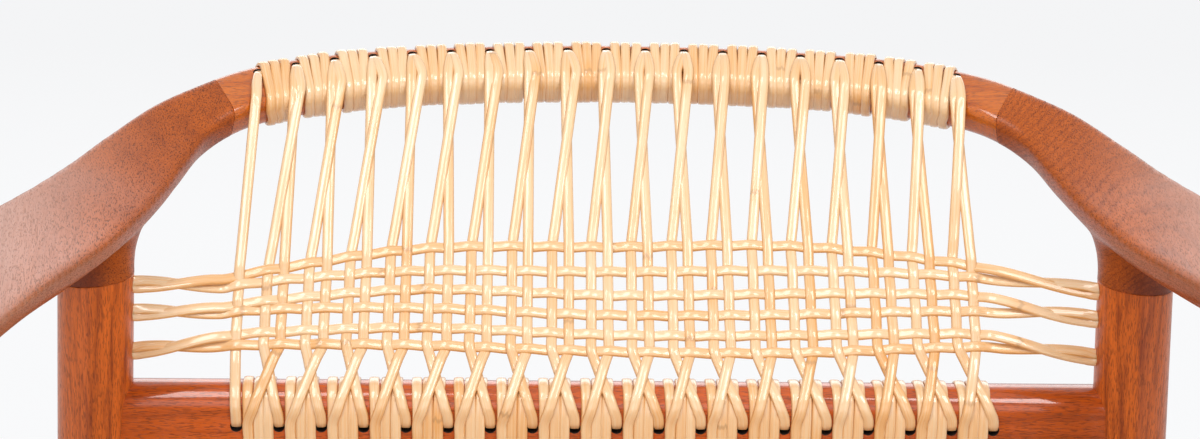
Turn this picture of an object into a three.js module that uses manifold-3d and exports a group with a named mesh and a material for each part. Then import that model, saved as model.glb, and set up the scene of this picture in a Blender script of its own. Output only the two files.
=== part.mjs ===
// Low lounge armchair: round legs, paddle arms, a bent crest rail, and flat cane laced from the
// crest rail down to a back rail. Millimetres, +Z up, the sitter faces -Y, left is -X.
import * as THREE from 'three';
import { mergeVertices } from 'three/addons/utils/BufferGeometryUtils.js';
import Module from 'manifold-3d';

// Driving dimensions of the frame
const postSpacing = 552; // rear legs, centre to centre where they meet the arms
const jointHeight = 510; // floor to the joint between rear leg and arm
const jointTiltDegrees = 4; // the joint is cut a little higher on its inner side
const armRise = 51; // that joint to the middle of the arm's upper face
const armReach = 440; // rear leg centre to the front end of the arm
const bowHalfWidth = 326; // middle plane to the middle of the arm where it is widest apart
const crestSetback = 126; // crest rail behind the rear legs, at the middle
const crestRise = 40; // crest rail above the arm, upper face to upper face
const crestTiltDegrees = 33; // lean of the crest rail's upper face
const bladeWidth = 77; // arm, where it is widest
const bladeThickness = 25;
const bladeUndercut = 16; // how far the arm's inner side runs under its edge
const edgeRound = 8; // rounding of crest rail and arm edges
const faceCrown = 1.6; // swell of the arm's faces; those of the crest rail are flat

// Driving dimensions of the legs
const legDiameter = 40;
const footDiameter = 27;
const taperHeight = 300; // the legs are straight above this height
const footRound = 3;
const rearSplay = 22; // how far each rear foot stands outside its joint
const rearRake = 30; // how far each rear foot stands behind its joint
const frontLegSide = 322; // middle plane to the front leg at the arm
const frontLegForward = 384; // rear leg centre to the front leg at the arm
const frontSplay = 14;
const frontRake = 12; // how far each front foot stands in front of the leg's top

// Driving dimensions of the rails
const backRailDrop = 60; // joint of rear leg and arm to the top of the back rail
const backRailHeight = 58;
const backRailThickness = 26;
const backRailRound = 11;
const seatRailHeight = 36;
const seatRailThickness = 26;
const seatRailRound = 9;
const seatDrop = 104; // top of the back rail to the top of the rear seat rail
const seatFrontRise = 26; // the front seat rail is higher than the rear one by this
const armTop = jointHeight + armRise;
const backRailTop = jointHeight - backRailDrop;
const seatRearTop = backRailTop - seatDrop;
const seatFrontTop = seatRearTop + seatFrontRise;

// Joinery
const tenonDiameter = 18;
const seatTenonDiameter = 14;
const tenonLength = 15;
const tenonStagger = 8; // seat rail tenons that meet in one leg pass above and below each other
const armTenonDiameter = 18;
const armTenonLength = 32;
const legTenonLength = 12;
const dowelDiameter = 10;
const dowelLength = 40;
const clearance = 0.3; // between pieces that touch
const overrun = 6; // how far a cutting shape passes the surface that it cuts
const weldDistance = 1e-4;

// Cane
const strandWidth = 5.5;
const strandThickness = 1.8;
const holeCount = 19;
const crestHolePitch = 21.75;
const crestHoleShift = -4; // the holes of the crest rail stand a little to the left
const railHolePitch = 22.5;
const pairPitch = 22; // pairs of strands at the cross strands
const pairShift = 2.9;
const holeDiameter = 4.4;
const railHoleDrop = 21; // rail holes below the top of the back rail
const bandWidth = 16.4; // three strands side by side
const bandThickness = 1.6;
const bandLift = 0.45; // between the wood and the cane wound on it
const pairGap = 8.3; // two strands of a pair, centre to centre
const seatCaneThickness = 4;
const seatSag = 7; // the seat hangs this much lower in the middle
const seatNotch = 8; // the seat is cut out round each leg by this much
const hangLift = 1.9; // the strands leave the crest rail this much higher, to clear its edge
const weftHoleDiameter = 6.6;
const weftHoleDepth = 9;
const weftHoleDrops = [4.5, 20.5, 42.5]; // below the joint of arm and rear leg
const crestRampCount = 4; // corners at the back over which the crest winding steps to its next place
const railRampCount = 1;
const shoulderShare = 0.42; // of its way sideways to its hole, what a strand has done at the shoulder
const frontShare = 0.6; // and at the top of the front face
const forkShare = 0.55; // way from net to rear leg where two cross strands join
const rowSag = 3.5; // power by which the cross strands bend away towards the edges
// Cross strands, from the back rail to the crest rail: at the left edge, in the middle, at the right
const rowShares = [
  [0.379, 0.432, 0.433],
  [0.357, 0.356, 0.392],
  [0.28, 0.287, 0.323],
  [0.262, 0.227, 0.268],
  [0.18, 0.169, 0.196],
  [0.153, 0.12, 0.155],
];

const materials = {
  teak: { color: 0xa4512a, roughness: 0.38, metalness: 0 },
  cane: { color: 0xe7bf85, roughness: 0.5, metalness: 0 },
};

const wasm = await Module();
wasm.setup();

// A closed geometry becomes a solid that can be joined and cut
function solidOf(geometry) {
  const bare = geometry.clone();
  bare.deleteAttribute('normal');
  bare.deleteAttribute('uv');
  const merged = mergeVertices(bare, weldDistance);
  return new wasm.Manifold(new wasm.Mesh({
    numProp: 3,
    vertProperties: new Float32Array(merged.attributes.position.array),
    triVerts: new Uint32Array(merged.index.array),
  }));
}

function geometryOf(solid) {
  const mesh = solid.getMesh();
  const geometry = new THREE.BufferGeometry();
  geometry.setAttribute('position', new THREE.BufferAttribute(mesh.vertProperties, 3));
  geometry.setIndex(new THREE.BufferAttribute(mesh.triVerts, 1));
  geometry.computeVertexNormals();
  return geometry;
}

// A skin over rings of equal count, closed by a fan at both ends
function loft(rings) {
  const count = rings[0].length;
  const positions = [];
  const faces = [];
  rings.forEach((ring) => ring.forEach((p) => positions.push(p.x, p.y, p.z)));
  for (let i = 0; i + 1 < rings.length; i += 1) {
    for (let j = 0; j < count; j += 1) {
      const a = i * count + j;
      const b = i * count + ((j + 1) % count);
      faces.push(a, b, b + count, a, b + count, a + count);
    }
  }
  [rings[0], rings[rings.length - 1]].forEach((ring, end) => {
    const middle = ring.reduce((sum, p) => sum.add(p), new THREE.Vector3()).divideScalar(count);
    const hub = positions.length / 3;
    const base = end * (rings.length - 1) * count;
    positions.push(middle.x, middle.y, middle.z);
    for (let j = 0; j < count; j += 1) {
      const a = base + j;
      const b = base + ((j + 1) % count);
      faces.push(...(end ? [hub, a, b] : [hub, b, a]));
    }
  });
  const geometry = new THREE.BufferGeometry();
  geometry.setAttribute('position', new THREE.Float32BufferAttribute(positions, 3));
  geometry.setIndex(faces);
  return geometry;
}

// A round bar from one point to another
function bar(from, to, radius, sides) {
  const along = new THREE.Vector3().subVectors(to, from);
  const geometry = new THREE.CylinderGeometry(radius, radius, along.length(), sides);
  const turn = new THREE.Quaternion().setFromUnitVectors(
    new THREE.Vector3(0, 1, 0),
    along.clone().normalize(),
  );
  geometry.applyQuaternion(turn);
  geometry.translate((from.x + to.x) / 2, (from.y + to.y) / 2, (from.z + to.z) / 2);
  return solidOf(geometry);
}

const chair = new THREE.Group();

function addPiece(name, solid, finish) {
  const material = new THREE.MeshStandardMaterial(materials[finish]);
  const mesh = new THREE.Mesh(solid instanceof THREE.BufferGeometry ? solid : geometryOf(solid), material);
  mesh.name = name;
  chair.add(mesh);
  return mesh;
}

// The bow: crest rail and both arms follow one line round the sitter.
// Shares from the middle of the back to the front end of an arm: side of bowHalfWidth, depth of
// crestSetback behind the legs and of armReach in front, rise of crestRise, tilt of
// crestTiltDegrees, width of bladeWidth, thickness of bladeThickness, undercut of bladeUndercut.
const bowStationShares = [
  [0, 1, 0.975, 1, 0.39, 0.8, 0],
  [0.33, 0.92, 0.96, 1, 0.39, 0.8, 0],
  [0.5, 0.8, 0.91, 1, 0.4, 0.81, 0],
  [0.63, 0.64, 0.81, 0.75, 0.43, 0.82, 0.05],
  [0.71, 0.504, 0.57, 0.68, 0.5, 0.94, 0.2],
  [0.768, 0.274, 0.31, 0.38, 0.66, 1, 0.45],
  [0.807, 0.036, 0.125, 0.25, 0.78, 1, 0.65],
  [0.843, -0.066, 0.025, 0.19, 0.88, 1, 0.8],
  [0.879, -0.141, -0.04, 0.17, 0.97, 1, 1],
  [0.913, -0.223, -0.05, 0.15, 1, 0.98, 1],
  [0.951, -0.341, -0.02, 0.1, 1, 0.95, 1],
  [0.985, -0.5, 0.03, 0.07, 0.97, 0.94, 1],
  [1, -0.682, 0.08, 0.05, 0.91, 0.93, 1],
  [0.997, -0.852, 0.14, 0.05, 0.82, 0.9, 0.9],
  [0.988, -1, 0.18, 0.05, 0.68, 0.86, 0.8],
];
const jointStationIndex = 3.3; // the arms meet the crest rail here, counted in stations
const probeShare = 0.01;
const bowCornerSteps = 2;
const mostRoundShare = 0.42; // edge rounding is held to this share of a thin section

const lastStation = bowStationShares.length - 1;
const bowPlaces = [];
const bowSections = [];
for (let i = -lastStation; i <= lastStation; i += 1) {
  const [side, depth, rise, tilt, width, thickness, undercut] = bowStationShares[Math.abs(i)];
  bowPlaces.push(new THREE.Vector3(
    Math.sign(i) * side * bowHalfWidth,
    depth * (depth > 0 ? crestSetback : armReach),
    armTop + rise * crestRise,
  ));
  bowSections.push([
    THREE.MathUtils.degToRad(tilt * crestTiltDegrees),
    width * bladeWidth,
    thickness * bladeThickness,
    undercut * bladeUndercut,
  ]);
}
const bowLine = new THREE.CatmullRomCurve3(bowPlaces);
const smooth = (points) => new THREE.CatmullRomCurve3(points, false, 'catmullrom');
const bowSizes = smooth(bowSections.map(([, width, thickness, undercut]) => (
  new THREE.Vector3(width, thickness, undercut))));
const bowTilt = smooth(bowSections.map(([tilt]) => new THREE.Vector3(tilt, 0, 0)));

// Outline of a section of the bow: four rounded corners with a crown after each, upper face first
function sectionOutline(width, thickness, undercut) {
  const swell = (faceCrown * undercut) / bladeUndercut;
  const corners = [
    new THREE.Vector2(width / 2, 0),
    new THREE.Vector2(-width / 2, 0),
    new THREE.Vector2(-width / 2 + undercut, -thickness),
    new THREE.Vector2(width / 2 - undercut, -thickness),
  ];
  const round = Math.min(edgeRound, thickness * mostRoundShare);
  const outline = [];
  corners.forEach((corner, k) => {
    const before = corners[(k + 3) % 4].clone().sub(corner);
    const after = corners[(k + 1) % 4].clone().sub(corner);
    const start = corner.clone().addScaledVector(before.clone().normalize(), round);
    const end = corner.clone().addScaledVector(after.clone().normalize(), round);
    const fillet = new THREE.QuadraticBezierCurve(start, corner, end);
    outline.push(...fillet.getPoints(bowCornerSteps));
    const outward = new THREE.Vector2(after.y, -after.x).normalize();
    outline.push(corner.clone().addScaledVector(after, 0.5).addScaledVector(outward, swell));
  });
  return outline;
}

// Pushes every side of a closed outline outwards by the same distance
function offsetOutline(outline, distance) {
  return outline.map((point, i) => {
    const before = point.clone().sub(outline[(i + outline.length - 1) % outline.length]).normalize();
    const after = outline[(i + 1) % outline.length].clone().sub(point).normalize();
    const first = new THREE.Vector2(before.y, -before.x);
    const second = new THREE.Vector2(after.y, -after.x);
    const mitre = first.clone().add(second).divideScalar(1 + first.dot(second));
    return point.clone().addScaledVector(mitre, distance);
  });
}

// Ring of the bow at a station counted from the middle of the back, negative to the left
function bowRing(station, { grow = 0, shrink = 1 } = {}) {
  const t = (station + lastStation) / (2 * lastStation);
  const centre = bowLine.getPoint(t);
  const along = bowLine.getTangent(t);
  const back = new THREE.Vector3(-along.y, along.x, 0).normalize();
  const { x: width, y: thickness, z: undercut } = bowSizes.getPoint(t);
  const { x: tilt } = bowTilt.getPoint(t);
  const across = back.clone().multiplyScalar(Math.cos(tilt)).setZ(Math.sin(tilt));
  const normal = back.clone().multiplyScalar(-Math.sin(tilt)).setZ(Math.cos(tilt));
  const plain = sectionOutline(width, thickness, undercut);
  const outline = offsetOutline(plain, grow);
  return outline.map((p) => centre.clone()
    .addScaledVector(across, p.x * shrink)
    .addScaledVector(normal, (p.y + thickness / 2) * Math.sqrt(shrink) - thickness / 2));
}

// Middle of the bow's section at a station
function bowCore(station) {
  const ring = bowRing(station);
  return ring.reduce((sum, p) => sum.add(p), new THREE.Vector3()).divideScalar(ring.length);
}

function bowBetween(from, to, steps) {
  const rings = [];
  for (let i = 0; i <= steps; i += 1) {
    rings.push(bowRing(from + ((to - from) * i) / steps));
  }
  return rings;
}

// Length of one station step of the bow near a station
function stationLength(station) {
  const step = probeShare;
  const at = (s) => bowLine.getPoint((s + lastStation) / (2 * lastStation));
  return at(station + step).distanceTo(at(station - step)) / (2 * step);
}

// Legs: turned, straight above, tapered to the foot
const legRadius = legDiameter / 2;
const legSides = 24;
const tenonSides = 16;
const dowelSides = 12;
const holeSides = 6;
const railCornerSteps = 2;
const legTaperShares = [
  [0, 1],
  [0.35, 0.62],
  [0.7, 0.2],
  [1, 0],
];

function legRadiusAt(share) {
  const steps = legTaperShares;
  const k = Math.max(0, steps.findIndex(([height]) => height >= share) - 1);
  const [lowHeight, lowTaper] = steps[k];
  const [highHeight, highTaper] = steps[k + 1];
  const taper = lowTaper + ((highTaper - lowTaper) * (share - lowHeight)) / (highHeight - lowHeight);
  return legRadius - (taper * (legDiameter - footDiameter)) / 2;
}

// Solid of a leg that stands on the floor at foot and leans to its top, or on past it
function legSolid(foot, top, { grow = 0, past = 0, sides = legSides } = {}) {
  const footRadius = footDiameter / 2;
  const profile = [
    new THREE.Vector2(0, 0),
    new THREE.Vector2(footRadius - footRound + grow, 0),
    new THREE.Vector2(footRadius + grow, footRound),
  ];
  legTaperShares.slice(1).forEach(([share]) => {
    profile.push(new THREE.Vector2(legRadiusAt(share) + grow, share * taperHeight));
  });
  profile.push(new THREE.Vector2(legRadius + grow, top.z + past));
  profile.push(new THREE.Vector2(0, top.z + past));
  const geometry = new THREE.LatheGeometry(profile, sides);
  geometry.rotateX(Math.PI / 2);
  // A lean that keeps every level section round and the foot flat on the floor
  geometry.applyMatrix4(new THREE.Matrix4().set(
    1, 0, (top.x - foot.x) / top.z, foot.x,
    0, 1, (top.y - foot.y) / top.z, foot.y,
    0, 0, 1, 0,
    0, 0, 0, 1,
  ));
  return solidOf(geometry);
}

const sides = { left: -1, right: 1 };
const legPlaces = {};
Object.entries(sides).forEach(([name, s]) => {
  const rearTop = new THREE.Vector3((s * postSpacing) / 2, 0, jointHeight);
  const frontTop = new THREE.Vector3(s * frontLegSide, -frontLegForward, armTop - bladeThickness / 2);
  legPlaces[`rear_leg_${name}`] = {
    top: rearTop,
    foot: new THREE.Vector3(rearTop.x + s * rearSplay, rearRake, 0),
  };
  legPlaces[`front_leg_${name}`] = {
    top: frontTop,
    foot: new THREE.Vector3(frontTop.x + s * frontSplay, frontTop.y - frontRake, 0),
  };
});

function legCentre(name, height) {
  const { foot, top } = legPlaces[name];
  return foot.clone().lerp(top, height / top.z);
}

// A large block above or below the slanted joint of a rear leg and its arm
function jointBlock(s, direction) {
  const size = 3 * legDiameter;
  const geometry = new THREE.BoxGeometry(size, size, size);
  geometry.translate(0, 0, (direction * (size - clearance)) / 2);
  geometry.rotateY(s * THREE.MathUtils.degToRad(jointTiltDegrees));
  geometry.translate((s * postSpacing) / 2, 0, jointHeight);
  return solidOf(geometry);
}

// Rails: straight bars, rounded above and chamfered below, coped against the legs and tenoned
const up = new THREE.Vector3(0, 0, 1);

function roundedOutline(width, height, round) {
  const outline = [];
  [[1, 1], [-1, 1], [-1, -1], [1, -1]].forEach(([x, y], quarter) => {
    const steps = y > 0 ? railCornerSteps : 1;
    for (let k = 0; k <= steps; k += 1) {
      const angle = (Math.PI / 2) * (quarter + k / steps);
      outline.push(new THREE.Vector2(
        x * (width / 2 - round) + round * Math.cos(angle),
        y * (height / 2 - round) + round * Math.sin(angle),
      ));
    }
  });
  return outline;
}

function railFrame(from, to) {
  const along = to.clone().sub(from).normalize();
  const side = new THREE.Vector3().crossVectors(up, along).normalize();
  const rise = new THREE.Vector3().crossVectors(along, side);
  return { along, side, rise, matrix: new THREE.Matrix4().makeBasis(side, rise, along).setPosition(from) };
}

function railBlank({ from, to, width, height, round }, grow = 0) {
  const outline = offsetOutline(roundedOutline(width, height, round), grow);
  const depth = from.distanceTo(to);
  const geometry = new THREE.ExtrudeGeometry(new THREE.Shape(outline), { depth, bevelEnabled: false });
  geometry.applyMatrix4(railFrame(from, to).matrix);
  return solidOf(geometry);
}

const backRailHeightMid = backRailTop - backRailHeight / 2;
const seatFrontMid = seatFrontTop - seatRailHeight / 2;
const seatRearMid = seatRearTop - seatRailHeight / 2;
const seatRailSizes = {
  width: seatRailThickness,
  height: seatRailHeight,
  round: seatRailRound,
  tenon: seatTenonDiameter,
};
const rails = {
  back_rail: {
    legs: ['rear_leg_left', 'rear_leg_right'],
    heights: [backRailHeightMid, backRailHeightMid],
    width: backRailThickness,
    height: backRailHeight,
    round: backRailRound,
    tenon: tenonDiameter,
    tenonRise: 0,
  },
  seat_rail_front: {
    legs: ['front_leg_left', 'front_leg_right'],
    heights: [seatFrontMid, seatFrontMid],
    ...seatRailSizes,
    tenonRise: tenonStagger,
  },
  seat_rail_rear: {
    legs: ['rear_leg_left', 'rear_leg_right'],
    heights: [seatRearMid, seatRearMid],
    ...seatRailSizes,
    tenonRise: tenonStagger,
  },
  seat_rail_left: {
    legs: ['rear_leg_left', 'front_leg_left'],
    heights: [seatRearMid, seatFrontMid],
    ...seatRailSizes,
    tenonRise: -tenonStagger,
  },
  seat_rail_right: {
    legs: ['rear_leg_right', 'front_leg_right'],
    heights: [seatRearMid, seatFrontMid],
    ...seatRailSizes,
    tenonRise: -tenonStagger,
  },
};
Object.values(rails).forEach((rail) => {
  [rail.from, rail.to] = rail.legs.map((leg, k) => legCentre(leg, rail.heights[k]));
});

// Tenon at one end of a rail: it runs from inside the rail into the leg
function tenonSolid(rail, end, grow) {
  const { along, rise } = railFrame(rail.from, rail.to);
  const centre = (end ? rail.to : rail.from).clone().addScaledVector(rise, rail.tenonRise);
  const inward = along.clone().multiplyScalar(end ? -1 : 1);
  const tip = centre.clone().addScaledVector(inward, legRadius - tenonLength - grow);
  const root = centre.clone().addScaledVector(inward, legRadius + tenonLength);
  return bar(tip, root, rail.tenon / 2 + grow, tenonSides);
}

// Arms: a blade carved to its neck, which stands on the rear leg
const neckSink = 11; // the neck has run out into the blade this far below the arm's upper face
const neckHeight = armRise - neckSink;
const neckFlare = 8;
const neckShares = [
  [0.42, 0.02],
  [0.62, 0.23],
  [0.82, 0.55],
  [1, 1],
];

function neckSolid(s) {
  const start = -legRadius;
  const profile = [new THREE.Vector2(0, start), new THREE.Vector2(legRadius, start)];
  neckShares.forEach(([rise, flare]) => {
    profile.push(new THREE.Vector2(legRadius + flare * neckFlare, rise * neckHeight));
  });
  profile.push(new THREE.Vector2(0, neckHeight));
  const geometry = new THREE.LatheGeometry(profile, legSides);
  geometry.rotateX(Math.PI / 2);
  geometry.translate((s * postSpacing) / 2, 0, jointHeight);
  return solidOf(geometry);
}

function armTenon(s, grow) {
  const x = (s * postSpacing) / 2;
  return bar(
    new THREE.Vector3(x, 0, jointHeight - armTenonLength - grow),
    new THREE.Vector3(x, 0, jointHeight + armTenonLength / 2),
    armTenonDiameter / 2 + grow,
    tenonSides,
  );
}

function legTenon(name, grow) {
  const top = legPlaces[name].top.clone();
  const tip = top.clone().setZ(top.z + legTenonLength / 2 + grow);
  const root = top.clone().setZ(top.z - legTenonLength);
  return bar(root, tip, tenonDiameter / 2 + grow, tenonSides);
}

// Blade from the joint with the crest rail to the rounded front end
const noseLength = 34;
const noseSteps = 4;
const noseTurnAngle = Math.PI * 0.46;
const bladeSteps = 24;
const crestSteps = 24;

function bladeRings(s, grow) {
  const rings = [];
  const gap = clearance / 2 / stationLength(jointStationIndex);
  const noseStations = noseLength / stationLength(lastStation - 1);
  const straightEnd = lastStation - noseStations;
  for (let i = 0; i <= bladeSteps; i += 1) {
    const share = i / bladeSteps;
    rings.push(bowRing(s * ((jointStationIndex + gap) * (1 - share) + straightEnd * share), { grow }));
  }
  for (let i = 1; i <= noseSteps; i += 1) {
    const angle = (i / noseSteps) * noseTurnAngle;
    const station = straightEnd + noseStations * Math.sin(angle);
    rings.push(bowRing(s * station, { grow, shrink: Math.cos(angle) }));
  }
  return s > 0 ? rings : rings.reverse();
}

function dowelSolid(s, grow) {
  const middle = bowCore(s * jointStationIndex);
  const along = bowLine.getTangent((s * jointStationIndex + lastStation) / (2 * lastStation));
  const reach = dowelLength / 2 + grow;
  return bar(
    middle.clone().addScaledVector(along, -reach),
    middle.clone().addScaledVector(along, reach),
    dowelDiameter / 2 + grow,
    dowelSides,
  );
}

// Cane that is wound round a rail: one flat band, one loop between each two strand holes.
// surface(distance along the rail, corner of the outline, distance above the wood) is a point.
function winding(surface, holeAt, corners, rampCount) {
  const rings = [];
  const loops = holeCount - 1;
  const inner = bandLift;
  const outer = bandLift + bandThickness;
  const pitch = holeAt(1) - holeAt(0);
  for (let loop = 0; loop < loops; loop += 1) {
    const start = (holeAt(loop) + holeAt(loop + 1)) / 2;
    const steps = loop === loops - 1 ? corners.length - rampCount + 1 : corners.length;
    for (let k = 0; k < steps; k += 1) {
      const ramp = Math.max(0, k - (corners.length - rampCount)) / rampCount;
      const middle = start + ramp * pitch;
      rings.push([
        surface(middle - bandWidth / 2, corners[k], inner),
        surface(middle + bandWidth / 2, corners[k], inner),
        surface(middle + bandWidth / 2, corners[k], outer),
        surface(middle - bandWidth / 2, corners[k], outer),
      ]);
    }
  }
  return rings;
}

// Least distance between the neighbouring edges of one turn and the next
function leastGap(rings, corners) {
  const turn = corners.length;
  let least = Infinity;
  for (let i = 0; i + turn < rings.length; i += 1) {
    for (let j = i + turn - 1; j <= Math.min(i + turn + 1, rings.length - 1); j += 1) {
      least = Math.min(least, rings[i][1].distanceTo(rings[j][0]), rings[i][2].distanceTo(rings[j][3]));
    }
  }
  return least;
}

// Points of the crest rail and the back rail that the cane follows
const bowLength = bowLine.getLength();
const halfCount = (holeCount - 1) / 2;
const crestHoleAt = (hole) => crestHoleShift + (hole - halfCount) * crestHolePitch;
const railHoleAt = (hole) => (hole - halfCount) * railHolePitch;

function stationAt(distance) {
  return bowLine.getUtoTmapping(0.5 + distance / bowLength) * 2 * lastStation - lastStation;
}

function crestSurface(distance, corner, above) {
  return bowRing(stationAt(distance), { grow: above })[corner];
}

const backRail = rails.back_rail;
const backRailMiddle = backRail.from.clone().lerp(backRail.to, 0.5);
const backRailFrame = railFrame(backRail.from, backRail.to);

function backRailPoint(distance, outlinePoint) {
  const { along, side, rise } = backRailFrame;
  return backRailMiddle.clone()
    .addScaledVector(along, distance)
    .addScaledVector(side, outlinePoint.x)
    .addScaledVector(rise, outlinePoint.y);
}

const railOutline = roundedOutline(backRail.width, backRail.height, backRail.round);

function backRailSurface(distance, corner, above) {
  return backRailPoint(distance, offsetOutline(railOutline, above)[corner]);
}

const crestPoints = bowRing(0).map((_, corner) => corner);
const crownEvery = bowCornerSteps + 2; // the crest rail's faces are flat, so its crowns are left out
const crestCorners = crestPoints.filter((corner) => corner % crownEvery < crownEvery - 1);
const railCorners = railOutline.map((_, corner) => corner);
// Corners of the crest rail's outline: the strands come up beside the back one and hang from the
// front one, and the bottom one is below the first
const backIndex = 2;
const frontIndex = 4;
const bottomIndex = 12;
// Corners of the back rail's outline: the strands reach the shoulder and bend again above the face
const shoulderIndex = 4;
const faceIndex = 5;

// The lacing is one net: a sheet of even thickness, built of cells that share their corners
const netLift = bandLift + bandThickness + clearance + strandThickness / 2;
const net = { front: [], back: [], cells: [] };

function netCorner(front, back) {
  net.front.push(front);
  net.back.push(back);
  return net.front.length - 1;
}

function netCell(...corners) {
  net.cells.push(corners);
}

function netGeometry() {
  const count = net.front.length;
  const faces = [];
  const edges = new Set();
  net.cells.forEach((cell) => cell.forEach((a, k) => {
    edges.add(`${a} ${cell[(k + 1) % cell.length]}`);
  }));
  net.cells.forEach((cell) => cell.forEach((a, k) => {
    const b = cell[(k + 1) % cell.length];
    if (k > 0 && k + 1 < cell.length) {
      faces.push(cell[0], a, b, cell[0] + count, b + count, a + count);
    }
    if (!edges.has(`${b} ${a}`)) faces.push(a, a + count, b + count, a, b + count, b);
  }));
  const geometry = new THREE.BufferGeometry();
  const positions = [...net.front, ...net.back].flatMap((p) => p.toArray());
  geometry.setAttribute('position', new THREE.Float32BufferAttribute(positions, 3));
  geometry.setIndex(faces);
  return geometry;
}

function crestCorner(distance, corner) {
  const lift = netLift + (corner === frontIndex ? hangLift : 0);
  return netCorner(
    crestSurface(distance, corner, lift + strandThickness / 2),
    crestSurface(distance, corner, lift - strandThickness / 2),
  );
}

function railCorner(distance, corner) {
  return netCorner(
    backRailSurface(distance, corner, netLift + strandThickness / 2),
    backRailSurface(distance, corner, netLift - strandThickness / 2),
  );
}

// The hanging part lies between the back rail's shoulder, share 0, and the crest rail, share 1
function hangPoint(railDistance, crestDistance, share) {
  const low = backRailSurface(railDistance, shoulderIndex, netLift);
  return low.lerp(crestSurface(crestDistance, frontIndex, netLift + hangLift), share);
}

const hangLine = hangPoint(0, 0, 1).sub(hangPoint(0, 0, 0));
const hangNormal = new THREE.Vector3().crossVectors(backRailFrame.along, hangLine).normalize();

function flatCorner(point) {
  return netCorner(
    point.clone().addScaledVector(hangNormal, strandThickness / 2),
    point.clone().addScaledVector(hangNormal, -strandThickness / 2),
  );
}

// Strands that hang: one single strand at the left edge, then 18 pairs. crestAt and railAt are the
// middle of the pair, shift is from there to the strand.
const pairs = [{ crestAt: crestHoleAt(0), railAt: railHoleAt(0), shifts: [0] }];
for (let pair = 1; pair < holeCount; pair += 1) {
  pairs.push({
    crestAt: crestHoleAt(pair),
    railAt: pairShift + (pair - holeCount / 2) * pairPitch,
    shifts: [-pairGap / 2, pairGap / 2],
  });
}

// Height of an edge of a cross strand: odd levels are lower edges
function levelShare(level, distance) {
  const [left, middle, right] = rowShares[Math.floor(level / 2)];
  const reach = Math.abs(distance) / (halfCount * pairPitch);
  const share = middle + ((distance < 0 ? left : right) - middle) * reach ** rowSag;
  const edge = strandWidth / 2 / hangLine.length();
  return share + (level % 2 ? -edge : edge);
}

const levels = 2 * rowShares.length;
const columns = [];
pairs.forEach((pair) => pair.shifts.forEach((shift) => {
  const column = [];
  for (let level = 0; level < levels; level += 1) {
    column.push([-strandWidth / 2, strandWidth / 2].map((edge) => {
      const share = levelShare(level, pair.railAt + shift + edge);
      return flatCorner(hangPoint(pair.railAt + shift + edge, pair.crestAt + shift + edge, share));
    }));
    if (level > 0) netCell(column[level - 1][0], column[level][0], column[level][1], column[level - 1][1]);
  }
  columns.push(column);
}));
for (let level = 0; level < levels; level += 2) {
  for (let k = 1; k < columns.length; k += 1) {
    const before = columns[k - 1];
    const after = columns[k];
    netCell(before[level][1], before[level + 1][1], after[level + 1][0], after[level][0]);
  }
}

// Above the cross strands a pair crosses over once, then lies side by side on the crest rail
pairs.forEach(({ crestAt, railAt, shifts }, pair) => {
  const side = shifts.length * (strandWidth / 2);
  const [backLeft, backRight, frontLeft, frontRight] = [backIndex, frontIndex].flatMap((corner) => (
    [-side, side].map((edge) => crestCorner(crestAt + edge, corner))));
  netCell(backLeft, frontLeft, frontRight, backRight);
  if (shifts.length === 1) {
    const [left, right] = columns[0][0];
    netCell(frontLeft, left, right, frontRight);
    return;
  }
  const [leftLeft, leftRight] = columns[2 * pair - 1][0];
  const [rightLeft, rightRight] = columns[2 * pair][0];
  const topShare = levelShare(0, railAt);
  const crossing = strandWidth / (strandWidth + pairGap);
  const at = (edge, share) => flatCorner(hangPoint(railAt + edge, crestAt + edge, share));
  const waistLeft = at(-strandWidth / 2, 1 - (1 - topShare) * crossing);
  const waistRight = at(strandWidth / 2, 1 - (1 - topShare) * crossing);
  const fork = at(0, 1 - (1 - topShare) * 2 * crossing);
  netCell(frontLeft, waistLeft, waistRight, frontRight);
  netCell(waistLeft, fork, waistRight);
  netCell(waistLeft, leftLeft, leftRight, fork);
  netCell(fork, rightLeft, rightRight, waistRight);
});

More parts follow.
